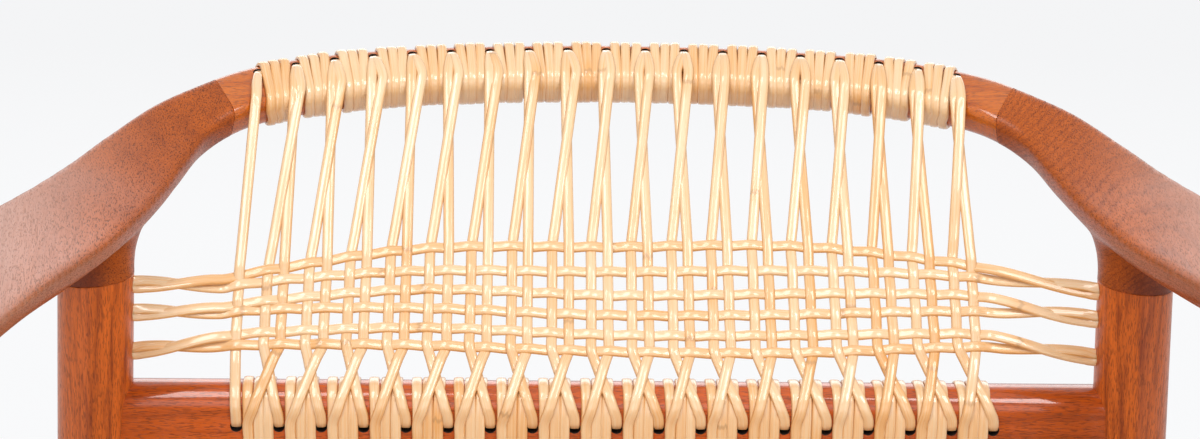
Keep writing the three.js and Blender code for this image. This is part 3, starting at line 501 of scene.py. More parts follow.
def rail_piece(node, legs, heights, size, finish):
    """A straight bar between two legs, at a height on each, that runs a little way into them."""
    start, end = (leg_centre(leg, height) for leg, height in zip(legs, heights))
    along = (end - start).normalized()
    start, end = start + along * rail_inset, end - along * rail_inset
    side = Vector((0, 0, 1)).cross(along).normalized()
    rise = along.cross(side)
    rings = []
    for k in range(rail_steps + 1):
        centre = start.lerp(end, k / rail_steps)
        rings.append([centre + side * a + rise * b for a, b in rail_outline(size)])
    rail = mesh_piece(f"{node}_bar", rings, finish)
    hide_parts(node)
    return rail


along_x = (0, math.pi / 2, 0)
along_y = (math.pi / 2, 0, 0)
rail_teak = dict(light=(0.590, 0.106, 0.011, 1), dark=(0.270, 0.039, 0.005, 1), ring_share=0.2,
                 pore_share=0.7, gloss=0.24, ior=1.22, coat=0.80, coat_roughness=0.06)
rear_legs = ["rear_leg_left", "rear_leg_right"]
back_rail = rail_piece(
    "back_rail", rear_legs, [rail_middle.z] * 2, back_rail_size,
    teak("teak of the back rail", along_x, (0, rail_middle.y + 0.03, 0.40), **rail_teak))
rail_holes = [(i - (rail_hole_count - 1) / 2) * rail_hole_pitch for i in range(rail_hole_count)]
hole_height = rail_high.z - rail_hole_drop
back_rail.data.materials.append(bore_painted_shade)
cut_away(back_rail, [
    drill(*(Vector((x, rail_middle.y + s * rail_bore_reach, hole_height)) for s in (-1, 1)),
          rail_hole_radius) for x in rail_holes])
smooth_over(back_rail)
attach(back_rail, "root")

front_mid, rear_mid = (top - seat_rail_size[1] / 2 for top in (seat_front_top, seat_rear_top))
seat_rails = {
    "seat_rail_front": (["front_leg_left", "front_leg_right"], [front_mid] * 2, along_x),
    "seat_rail_rear": (rear_legs, [rear_mid] * 2, along_x),
    "seat_rail_left": (["rear_leg_left", "front_leg_left"], [rear_mid, front_mid], along_y),
    "seat_rail_right": (["rear_leg_right", "front_leg_right"], [rear_mid, front_mid], along_y),
}
for node, (legs, heights, turn) in seat_rails.items():
    rail = rail_piece(node, legs, heights, seat_rail_size,
                      teak(f"teak of {node}", turn, (0.3, 0.2, 0.30), **rail_teak))
    smooth_over(rail)
    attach(rail, "root")

# The arms are carved in teak and make one flowing line with the crest rail between them. Each
# widens into a flat paddle, and its neck is carved from the same wood and stands on the rear leg.
bow_half_width = 0.326
crest_setback = 0.126
arm_reach = 0.440
crest_rise = 0.040
crest_tilt = math.radians(33)
blade_width = 0.077
blade_undercut = 0.016
edge_round = 0.008
face_crown = 0.0016
ring_corner_steps = 6
joint_station = 3.3
# Shares from the middle of the back to the front end of an arm: side, depth, rise, tilt, width,
# thickness, undercut
bow_shares = np.array([
    (0, 1, 0.975, 1, 0.39, 0.8, 0),
    (0.33, 0.92, 0.96, 1, 0.39, 0.8, 0),
    (0.5, 0.8, 0.91, 1, 0.4, 0.81, 0),
    (0.63, 0.64, 0.81, 0.75, 0.43, 0.82, 0.05),
    (0.71, 0.504, 0.57, 0.68, 0.5, 0.94, 0.2),
    (0.768, 0.274, 0.31, 0.38, 0.66, 1, 0.45),
    (0.807, 0.036, 0.125, 0.25, 0.78, 1, 0.65),
    (0.843, -0.066, 0.025, 0.19, 0.88, 1, 0.8),
    (0.879, -0.141, -0.04, 0.17, 0.97, 1, 1),
    (0.913, -0.223, -0.05, 0.15, 1, 0.98, 1),
    (0.951, -0.341, -0.02, 0.1, 1, 0.95, 1),
    (0.985, -0.5, 0.03, 0.07, 0.97, 0.94, 1),
    (1, -0.682, 0.08, 0.05, 0.91, 0.93, 1),
    (0.997, -0.852, 0.14, 0.05, 0.82, 0.9, 0.9),
    (0.988, -1, 0.18, 0.05, 0.68, 0.86, 0.8),
])
last_station = len(bow_shares) - 1
mirrored = np.arange(-last_station, last_station + 1)
rows = bow_shares[np.abs(mirrored)]
bow_places = np.stack([
    np.sign(mirrored) * rows[:, 0] * bow_half_width,
    joint_y + np.where(rows[:, 1] > 0, rows[:, 1] * crest_setback, rows[:, 1] * arm_reach),
    arm_top + rows[:, 2] * crest_rise,
], 1)
bow_sizes = np.stack([rows[:, 3] * crest_tilt, rows[:, 4] * blade_width, rows[:, 5] * blade_thickness,
                      rows[:, 6] * blade_undercut], 1)


def cubic(w, one, lean_one, two, lean_two):
    """From one to two, w being the share of the way, with a lean at each end."""
    return ((2 * w**3 - 3 * w**2 + 1) * one + (w**3 - 2 * w**2 + w) * lean_one
            + (3 * w**2 - 2 * w**3) * two + (w**3 - w**2) * lean_two)


def spline(points, station, even):
    """Smooth curve through points at a station; even curves take all steps as alike."""
    t = station + last_station
    k = int(min(max(math.floor(t), 0), len(points) - 2))
    w = t - k
    one, two = points[k], points[k + 1]
    before = points[k - 1] if k else 2 * one - two
    after = points[k + 2] if k + 2 < len(points) else 2 * two - one
    if even:
        lean_one, lean_two = (two - before) / 2, (after - one) / 2
    else:
        a, b, c = (math.sqrt(np.linalg.norm(d)) for d in (one - before, two - one, after - two))
        lean_one = b * ((one - before) / a - (two - before) / (a + b) + (two - one) / b)
        lean_two = b * ((two - one) / b - (after - one) / (b + c) + (after - two) / c)
    return cubic(w, one, lean_one, two, lean_two)


def bow_frame(station):
    """Middle of the upper face, and the ways across (to the back) and up out of it."""
    probe = 0.001
    ahead, behind = (spline(bow_places, station + e, False) for e in (probe, -probe))
    back = np.array([-(ahead - behind)[1], (ahead - behind)[0], 0])
    back /= np.linalg.norm(back)
    tilt = spline(bow_sizes, station, True)[0]
    rise = np.array([0, 0, 1])
    return (spline(bow_places, station, False), math.cos(tilt) * back + math.sin(tilt) * rise,
            math.cos(tilt) * rise - math.sin(tilt) * back)


def bow_outline(station, corner_steps):
    """Section of the bow as (across, up) points, from the rear upper edge over the top to the front."""
    _, width, thickness, undercut = spline(bow_sizes, station, True)
    half, under = width / 2, width / 2 - undercut
    corners = [np.array(c) for c in ((half, 0), (-half, 0), (-under, -thickness), (under, -thickness))]
    rounding = min(edge_round, 0.42 * thickness)
    swell = face_crown * undercut / blade_undercut
    points = []
    for k, corner in enumerate(corners):
        to_before, to_after = corners[k - 1] - corner, corners[(k + 1) % 4] - corner
        reach = np.linalg.norm(to_after)
        start = corner + rounding * to_before / np.linalg.norm(to_before)
        end = corner + rounding * to_after / reach
        for step in range(corner_steps + 1):
            q = step / corner_steps
            points.append((1 - q)**2 * start + 2 * q * (1 - q) * corner + q * q * end)
        outward = np.array([to_after[1], -to_after[0]]) / reach
        flat_start, flat_end = end, corner + to_after * (1 - rounding / reach)
        for step in range(1, corner_steps):
            q = step / corner_steps
            points.append(flat_start + (flat_end - flat_start) * q + outward * swell * 4 * q * (1 - q))
    return np.array(points)


def bow_ring(station, shrink=1.0):
    """Ring of the bow's skin at a station, drawn in where its end is rounded."""
    centre, across, up = bow_frame(station)
    outline = bow_outline(station, ring_corner_steps)
    half = spline(bow_sizes, station, True)[2] / 2
    sideways, rise = outline[:, 0] * shrink, (outline[:, 1] + half) * math.sqrt(shrink) - half
    return centre + sideways[:, None] * across + rise[:, None] * up


def station_length(station):
    """Metres along the bow that one station is long there."""
    probe = 0.01
    ends = [spline(bow_places, station + e, False) for e in (-probe, probe)]
    return np.linalg.norm(ends[1] - ends[0]) / (2 * probe)


station_samples = np.linspace(-last_station, last_station, 1401)
line_samples = np.array([spline(bow_places, t, False) for t in station_samples])
line_lengths = np.concatenate([[0], np.cumsum(np.linalg.norm(np.diff(line_samples, axis=0), axis=1))])
line_lengths -= line_lengths[-1] / 2


def station_at(distance):
    """Station of the bow at a distance along it from the middle of the back."""
    return float(np.interp(distance, line_lengths, station_samples))


neck_height = 0.040
neck_flare = 0.011
neck_start_share = 0.16
fillet_inner, fillet_outer = 0.027, 0.052
fillet_fades = (0.008, 0.018)
nose_length = 0.034
nose_steps = 10
nose_turn = math.pi * 0.48
joint_overlap = 0.25
arm_rings = 130
carve_voxel = 0.0016
sanding_loss = 0.0003


def arm_blank(s):
    """Blade of an arm from beyond its joint with the crest rail to the rounded front end."""
    nose = nose_length / station_length(last_station - 1)
    stations = np.linspace(joint_station - joint_overlap, last_station - nose, arm_rings)
    rings = [bow_ring(s * t) for t in stations]
    for k in range(1, nose_steps + 1):
        angle = nose_turn * k / nose_steps
        station = last_station - nose + nose * math.sin(angle)
        rings.append(bow_ring(s * station, shrink=math.cos(angle)))
    return mesh_piece("arm", rings)


def neck_blank(s):
    """Round neck under the blade, straight at the joint and flared as it runs out into the blade."""
    rings = []
    for k in range(-8, 25):
        rise = k / 24
        flare = max(0.0, (rise - neck_start_share) / (1 - neck_start_share))**1.6
        centre = Vector((s * joint_spacing / 2, joint_y, joint_height + rise * neck_height))
        rings.append(ring_round(centre, leg_radius + neck_flare * flare, 48))
    return mesh_piece("neck", rings)


def smooth_step(value, low, high):
    q = min(1.0, max(0.0, (value - low) / (high - low)))
    return q * q * (3 - 2 * q)


def blend_neck(arm, s):
    """Sands the hollow between neck and blade to one soft curve."""
    hollow = arm.vertex_groups.new(name="hollow")
    underside = arm_top - blade_thickness
    for spot in arm.data.vertices:
        away = math.hypot(spot.co.x - s * joint_spacing / 2, spot.co.y - joint_y)
        weight = 1 - smooth_step(away, fillet_inner, fillet_outer)
        weight *= smooth_step(spot.co.z, *(joint_height + rise for rise in fillet_fades))
        weight *= 1 - smooth_step(spot.co.z, *(underside + rise for rise in fillet_fades))
        if weight > 0:
            hollow.add([spot.index], weight, "REPLACE")
    soften = arm.modifiers.new("soften", "SMOOTH")
    soften.factor = 0.5
    soften.iterations = 60
    soften.vertex_group = "hollow"
    settle(arm)


arm_light = (0.495, 0.106, 0.011, 1)
arm_dark = (0.190, 0.032, 0.005, 1)
# Pale tone of the painted sheen on the upper, outer part of each arm
arm_painted_sheen = (0.405, 0.192, 0.128, 1)
arm_figures = {
    "left": dict(ring_width=0.012, ring_share=0.12, pore_share=1.0),
    "right": dict(ring_width=0.0032, ring_share=0.27, ring_power=5, ring_wander=2.6, pore_share=0.8),
}
for name, s in sides.items():
    arm = arm_blank(s)
    cut_away(arm, [neck_blank(s)], "UNION")
    carve = arm.modifiers.new("carve", "REMESH")
    carve.mode = "VOXEL"
    carve.voxel_size = carve_voxel
    sand = arm.modifiers.new("sand", "SMOOTH")
    sand.factor = 0.5
    sand.iterations = 12
    swell = arm.modifiers.new("swell", "DISPLACE")
    swell.mid_level = 0
    swell.strength = sanding_loss
    settle(arm)
    blend_neck(arm, s)
    joint = leg_lines[f"rear_leg_{name}"][1]
    trim_above(arm, joint, Vector((-s * math.sin(joint_tilt), 0, -math.cos(joint_tilt))))
    place, across, up = bow_frame(s * joint_station)
    trim_above(arm, place, Vector(s * np.cross(up, across)))
    arm.name = f"arm_{name}_carved"
    arm.data.materials.clear()
    arm.data.materials.append(teak(
        f"teak of arm_{name}", (math.pi / 2, 0, -s * 0.12), (s * 0.27, 0, 0.50), light=arm_light,
        dark=arm_dark, streak_share=0.15, gloss=0.36, ior=1.32, coat=0.10,
        # Low on the neck's outer side: end grain, and painted shade under the blade
        end_grain_and_shade=(joint_height + 0.030, joint_height + 0.008, 0.262, 0.275),
        # Upper outer part of the blade: a paler tone painted on as a painted sheen
        painted_sheen=(arm_painted_sheen, (joint_height + 0.028, joint_height + 0.044, 0.240, 0.315)), **arm_figures[name]))
    smooth_over(arm)
    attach(arm, "root")
    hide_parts(f"arm_{name}")

# The crest rail is the middle of the same line, shaped from its own piece of teak and dowelled to
# the arms. A row of 19 holes along its rear edge takes the strands.
crest_rings = 90
crest_hole_count = 19
crest_hole_pitch = 0.02174
crest_hole_shift = -0.00395
crest_hole_radius = 0.0028
crest_holes = [crest_hole_shift + (i - (crest_hole_count - 1) / 2) * crest_hole_pitch
               for i in range(crest_hole_count)]
crest = mesh_piece(
    "crest_rail_carved", [bow_ring(t) for t in np.linspace(-joint_station, joint_station, crest_rings)],
    teak("teak of the crest rail", along_x, (0, joint_y + 0.10, 0.52), light=(0.640, 0.158, 0.012, 1),
         dark=(0.350, 0.064, 0.007, 1), ring_width=0.004, ring_share=0.25, gloss=0.22, ior=1.30,
         coat=0.7, coat_roughness=0.08))
crest.data.materials.append(bore_painted_shade)


def crest_top(distance, inward, above):
    """Point over the crest rail's upper face: inward from its rear edge, above the wood."""
    station = station_at(distance)
    centre, across, up = bow_frame(station)
    width = spline(bow_sizes, station, True)[1]
    return Vector(centre + (width / 2 - inward) * across + above * up)


crest_hole_inset = 0.0082
crest_bore = (0.004, -0.012)
cut_away(crest, [
    drill(*(crest_top(hole, crest_hole_inset, above) for above in crest_bore), crest_hole_radius)
    for hole in crest_holes])
smooth_over(crest)
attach(crest, "root")
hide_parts("crest_rail")

# A round teak dowel joins the crest rail to each arm, glued into a hole in both and hidden there.
# The dowels' solids stay as they are and get the wood of the rest.
dowel_teak = teak("teak of the dowels", along_x, (0, joint_y + 0.1, 0.5))
for name in sides:
    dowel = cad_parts[f"crest_dowel_{name}"]
    dowel.data.materials.clear()
    dowel.data.materials.append(dowel_teak)

# Cane: strands of one width, half round, with the glossy outer skin up. All of the back is laced
# with them, so the strand and its finish are made once, here.
strand_width = 0.0055
strand_thickness = 0.0019
cane_light = (0.830, 0.608, 0.372, 1)
cane_dark = (0.740, 0.375, 0.120, 1)
cane_node_tone = (0.380, 0.200, 0.085, 1)


def cane_finish():
    """Cane skin: fibres along the strand, paler and darker stretches, and leaf nodes here and there."""
    made, skin = new_finish("cane", Figured)

    def attribute(name):
        return skin.node("ShaderNodeAttribute", attribute_name=name).outputs["Fac"]

    def noise(x, y, z, detail=2.0):
        return skin.noise(skin.first("ShaderNodeCombineXYZ", {0: x, 1: y, 2: z}), detail)

    along, across, strand = attribute("along"), attribute("across"), attribute("strand")
    own = skin.times(strand, 97.0)
    drawn_out = skin.times(along, 16.0)
    fibre = skin.soft_step(noise(skin.times(across, 5.5), drawn_out, own, 4.0), 0.40, 0.60)
    stretch = skin.soft_step(noise(drawn_out, own, 0.0), 0.34, 0.68)
    scratch = skin.soft_step(noise(skin.times(across, 9.0), skin.times(along, 9.0), own), 0.56, 0.70)
    edge = skin.soft_step(skin.maths("ABSOLUTE", across), 0.80, 1.0)
    tan = skin.soft_step(skin.maths("FRACT", skin.times(strand, 7.31)), 0.55, 1.0)
    # Leaf nodes, a little ragged, at an even spacing that begins elsewhere on each strand
    from_node = skin.plus(skin.maths("DIVIDE", along, 0.33), skin.times(strand, 13.7))
    ragged = skin.times(noise(skin.times(across, 1.6), own, along), 0.020)
    near = skin.maths("SUBTRACT", skin.plus(skin.maths("FRACT", from_node), ragged), 0.5)
    near = skin.maths("ABSOLUTE", near)
    leaf_ring = skin.maths("SUBTRACT", 1.0, skin.soft_step(near, 0.001, 0.006))
    stain = skin.maths("SUBTRACT", 1.0, skin.soft_step(near, 0.004, 0.035))
    darkness = skin.weighed((fibre, 0.36), (tan, 0.34), (stretch, 0.24), (edge, 0.50), (scratch, 0.40),
                            (stain, 0.25))
    body = skin.blend(darkness, cane_light, cane_dark)
    bump = skin.first("ShaderNodeBump", {
        "Height": skin.plus(skin.times(fibre, 0.35), leaf_ring), "Strength": 0.4, "Distance": 0.0003})
    shell = skin.first("ShaderNodeBsdfPrincipled", {
        "Base Color": skin.blend(skin.times(leaf_ring, 0.45), body, cane_node_tone),
        "Roughness": skin.plus(0.22, skin.times(darkness, 0.22)), "Normal": bump,
        "IOR": 1.5, "Coat Weight": 0.75, "Coat Roughness": 0.07})
    skin.node("ShaderNodeOutputMaterial", {"Surface": shell})
    return made


cane = cane_finish()


def strand_tree():
    """Sweeps a half-round strand along each polyline of a mesh, its skin to the side named in skin."""
    tree = bpy.data.node_groups.new("cane strand", "GeometryNodeTree")
    open_sockets(tree, "INPUT", (
        ("Geometry", "Geometry"), ("Width", "Float"), ("Thickness", "Float"), ("Material", "Material")))
    open_sockets(tree, "OUTPUT", (("Geometry", "Geometry"),))
    sweep = Wiring(tree)
    given = sweep.node("NodeGroupInput").outputs

    def stored(geometry, name, value):
        return sweep.first("GeometryNodeStoreNamedAttribute", {
            "Geometry": geometry, "Name": name, "Value": value}, domain="POINT")

    def named(name, kind):
        return sweep.first("GeometryNodeInputNamedAttribute", {"Name": name}, data_type=kind)

    line = sweep.first("GeometryNodeMeshToCurve", {"Mesh": given["Geometry"]})
    facing = sweep.first("GeometryNodeSetCurveNormal", {
        "Curve": line, "Normal": named("skin", "FLOAT_VECTOR")}, mode="FREE")
    measured = stored(facing, "along", sweep.node("GeometryNodeSplineParameter").outputs["Length"])
    circle = sweep.first("GeometryNodeCurvePrimitiveCircle", {"Resolution": 16, "Radius": 1.0})
    unit = sweep.node("ShaderNodeSeparateXYZ", {0: sweep.first("GeometryNodeInputPosition")}).outputs
    # Steep flanks and a low dome over a nearly flat underside
    flank = sweep.maths("MAXIMUM", sweep.times(unit["X"], 1.9), -0.1)
    flank = sweep.maths("MINIMUM", flank, 1.0)
    dome = sweep.maths("MAXIMUM", unit["X"], -0.1)
    bulge = sweep.plus(sweep.times(flank, 0.64), sweep.times(dome, 0.36))
    shape = sweep.first("ShaderNodeCombineXYZ", {
        "X": sweep.times(bulge, given["Thickness"]),
        "Y": sweep.times(unit["Y"], sweep.times(given["Width"], 0.5))})
    profile = sweep.first("GeometryNodeSetPosition", {
        "Geometry": stored(circle, "across", unit["Y"]), "Position": shape})
    strand = sweep.first("GeometryNodeCurveToMesh", {
        "Curve": measured, "Profile Curve": profile, "Scale": named("width", "FLOAT"),
        "Fill Caps": True})
    real = sweep.first("GeometryNodeRealizeInstances", {"Geometry": strand})
    sweep.node("NodeGroupOutput", {"Geometry": sweep.first("GeometryNodeSetMaterial", {
        "Geometry": real, "Material": given["Material"]})})
    return tree


strand_maker = strand_tree()


def lay_strands(name, strands, width=strand_width, thickness=strand_thickness):
    """A piece of cane strands. Each is (points, ways that its skin faces, shares of the full width)."""
    points, ways, shares = (np.concatenate(column) for column in zip(*strands))
    edges, start = [], 0
    for line, _, _ in strands:
        edges += [(k, k + 1) for k in range(start, start + len(line) - 1)]
        start += len(line)
    lines = bpy.data.meshes.new(name)
    lines.from_pydata(points.tolist(), edges, [])
    lines.attributes.new("skin", "FLOAT_VECTOR", "POINT").data.foreach_set("vector", ways.ravel())
    draws = np.concatenate([np.full(len(line), chance.random()) for line, _, _ in strands])
    lines.attributes.new("strand", "FLOAT", "POINT").data.foreach_set("value", draws)
    lines.attributes.new("width", "FLOAT", "POINT").data.foreach_set("value", shares)
    piece = bpy.data.objects.new(name, lines)
    bpy.context.scene.collection.objects.link(piece)
    step = piece.modifiers.new("strands", "NODES")
    step.node_group = strand_maker
    sockets = {s.name: s.identifier for s in strand_maker.interface.items_tree if s.in_out == "INPUT"}
    step[sockets["Width"]] = width
    step[sockets["Thickness"]] = thickness
    step[sockets["Material"]] = cane
    settle(piece)
    smooth_over(piece, 60)
    return piece


def smooth_line(course, step=0.0022):
    """A smooth curve at an even step along a course of spots.

    A spot is a point, the way that the skin faces there, and the share of the full width if less.
    """
    points, ways = (np.array([spot[part] for spot in course], float) for part in (0, 1))
    shares = np.array([(*spot, 1.0)[2] for spot in course])
    reach = np.concatenate([[0], np.cumsum(np.linalg.norm(np.diff(points, axis=0), axis=1))])
    lean = np.gradient(points, reach, axis=0)
    spots = np.linspace(0, reach[-1], max(2, int(reach[-1] / step)))
    k = np.clip(np.searchsorted(reach, spots, side="right") - 1, 0, len(points) - 2)
    span = (reach[k + 1] - reach[k])[:, None]
    w = (spots[:, None] - reach[k][:, None]) / span
    line = cubic(w, points[k], span * lean[k], points[k + 1], span * lean[k + 1])
    turned = (1 - w) * ways[k] + w * ways[k + 1]
    return line, turned / np.linalg.norm(turned, axis=1)[:, None], np.interp(spots, reach, shares)


chance = random.Random(7)

# The crest rail is wound with cane before the back is laced: three turns between each two holes.
# The turns lie close at the top and draw together as they come down the front.
crest_wound_lift = 0.0004
crest_wrap_thickness = 0.0019
wound_width = strand_width * 1.03
wrap_pitch = 0.0058
wrap_front_pitch = 0.0047
wraps_between = 3
crest_reach = 0.1957
# At the ends of the crest rail what lies on it runs outwards, as seen along the bow
ridge_spread = 0.0017
ridge_end_spread = 0.0063
# Places are counted in the points of the crest rail's outline: its rear upper edge, where the laced
# strands leave it, its front upper edge and its front lower one
wrap_steps = 4
outline_count = 8 * wrap_steps
rear_edge, crest_leave, crest_ridge, front_low = 3, 9, 11, 18
lower_return = 0.5


def ridge_shift(distance):
    """How much farther out a strand is on the ridge than at its hole."""
    t = distance / crest_reach
    return ridge_spread * t + ridge_end_spread * t**5


def crest_wrap_point(distance, index, above):
    """Point and outward way at one place of the outline of the crest rail."""
    station = station_at(distance)
    centre, across, up = bow_frame(station)
    outline = bow_outline(station, wrap_steps)
    before, after = outline[index - 1], outline[(index + 1) % outline_count]
    run = (after - before) / np.linalg.norm(after - before)
    outward = np.array([run[1], -run[0]])
    spot = outline[index] + outward * above
    way = outward[0] * across + outward[1] * up
    return centre + spot[0] * across + spot[1] * up, way


crest_strands = []
for hole, next_hole in zip(crest_holes, crest_holes[1:]):
    middle = (hole + next_hole) / 2
    course = []
    side = bow_outline(station_at(middle), wrap_steps)[:, 0]
    for turn in range(wraps_between):
        top = middle + (turn - 1) * wrap_pitch + chance.uniform(-0.0003, 0.0003)
        low = middle + (turn - 1) * wrap_front_pitch + chance.uniform(-0.0005, 0.0005)
        next_top = middle + turn * wrap_pitch
        lift = crest_wound_lift + chance.uniform(-0.0002, 0.0003)
        for index in range(outline_count):
            if index <= front_low:
                q = (side[rear_edge] - side[index]) / (side[rear_edge] - side[crest_ridge])
                q = min(1.0, max(0.0, q)) if index < crest_ridge else 1.0
                back_in = lower_return * max(0, index - crest_ridge) / (front_low - crest_ridge)
                distance = top + (low - top) * q + ridge_shift(middle) * (q - back_in)
            else:
                q = (index - front_low) / (outline_count - front_low)
                start = low + ridge_shift(middle) * (1 - lower_return)
                distance = start + (next_top - start) * q
            course.append(crest_wrap_point(distance, index, lift))
    crest_strands.append(smooth_line(course, 0.0014))
crest_winding = lay_strands("crest_cane_wound", crest_strands, wound_width, crest_wrap_thickness)
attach(crest_winding, "root")
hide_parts("crest_cane_winding")

# The back is laced from the crest rail down to the back rail with one single strand at the left
# and 18 pairs. Each pair comes out of one hole, crosses once above the cross strands and once
# below them, and there one strand runs into a hole and the other begins the turns round the rail.
over_wraps = crest_wound_lift + crest_wrap_thickness
over_rail_wraps = 0.0016
ridge_lift = 0.0030
ridge_wander = 0.0012
pair_pitch = 0.02210
pair_shift = 0.0023
pair_gap = 0.0092
column_wander = 0.0005
weave_depth = 0.00095
crossing_depth = 0.00115
# Cross strands as shares of the way from back rail to crest rail, at five places from left to right
row_places = np.array([-1, -0.55, 0, 0.5, 1])
row_shares = np.array([
    (0.413, 0.463, 0.465, 0.480, 0.457),
    (0.379, 0.391, 0.385, 0.400, 0.418),
    (0.309, 0.331, 0.309, 0.325, 0.353),
    (0.284, 0.271, 0.246, 0.258, 0.298),
    (0.202, 0.207, 0.183, 0.190, 0.218),
    (0.163, 0.151, 0.131, 0.134, 0.173),
])
edge_reach = 0.2
edge_lean = 0.0105
single_place = -0.2049


def rail_point(distance, place, above):
    """Point on the back rail's outline and the way out of it; place counts from its rear upper edge."""
    outline = rail_outline(back_rail_size, above)
    bare = rail_outline(back_rail_size, above + 0.001)
    k = int(place)
    w = place - k
    here = [(1 - w) * outline[k][c] + w * outline[k + 1][c] for c in (0, 1)]
    out = [(1 - w) * bare[k][c] + w * bare[k + 1][c] - here[c] for c in (0, 1)]
    spot = np.array([distance, rail_middle.y + here[0], rail_middle.z + here[1]])
    way = np.array([0, out[0], out[1]])
    return spot, way / np.linalg.norm(way)


rail_shoulder = 11.5  # outline place half way round the back rail's front upper edge


def hang_low(distance):
    return rail_point(distance, rail_shoulder, over_rail_wraps)[0]


def hang_high(distance):
    return crest_wrap_point(distance, crest_ridge, ridge_lift)[0]


# The way out of the hanging back, to the front
hang_way = np.cross([1.0, 0, 0], hang_high(0) - hang_low(0))
hang_way /= np.linalg.norm(hang_way)


def weave_point(distance, share):
    """Point among the cross strands. Towards the sides the uprights lean out as they rise."""
    t = distance / edge_reach
    high = hang_high(distance + edge_lean * t * min(1.1, abs(t))**5)
    return hang_low(distance) * (1 - share) + high * share


def row_share(row, distance):
    """Height of a cross strand at a place, on a smooth curve through its five shares."""
    t = distance / edge_reach
    shares = row_shares[row]
    lean = np.gradient(shares, row_places)
    k = min(max(int(np.searchsorted(row_places, t)) - 1, 0), len(row_places) - 2)
    span = row_places[k + 1] - row_places[k]
    w = min(1.0, max(0.0, (t - row_places[k]) / span))
    return cubic(w, shares[k], span * lean[k], shares[k + 1], span * lean[k + 1])


def column_place(pair, part):
    """Place of a strand among the cross strands; part is -1 for left, 1 for right, 0 for the single."""
    if pair == 0:
        return single_place
    return pair_shift + (pair - crest_hole_count / 2) * pair_pitch + part * pair_gap / 2


columns = [(0, 0)] + [(pair, part) for pair in range(1, crest_hole_count) for part in (-1, 1)]


def upright_depth(column, row):
    """How far an upright strand lies before the weave at a cross strand: over and under by turns."""
    return weave_depth if (column + row) % 2 == 0 else -weave_depth


# Half the spread of a pair at its hole and on the ridge, and the width of a strand at its hole
mouth_spread, pair_spread = 0.0005, 0.0025
spread_wander = 0.0009
tip_share = 0.74
band_places = (0.0064, 0.0118, 0.0172)
band_reached = 0.018
bands_lift = 0.0002


def rail_face(distance, height, above):
    """Point before the front of the back rail and the way out of it."""
    return np.array([distance, rail_low.y - above, height]), np.array([0, -1.0, 0])


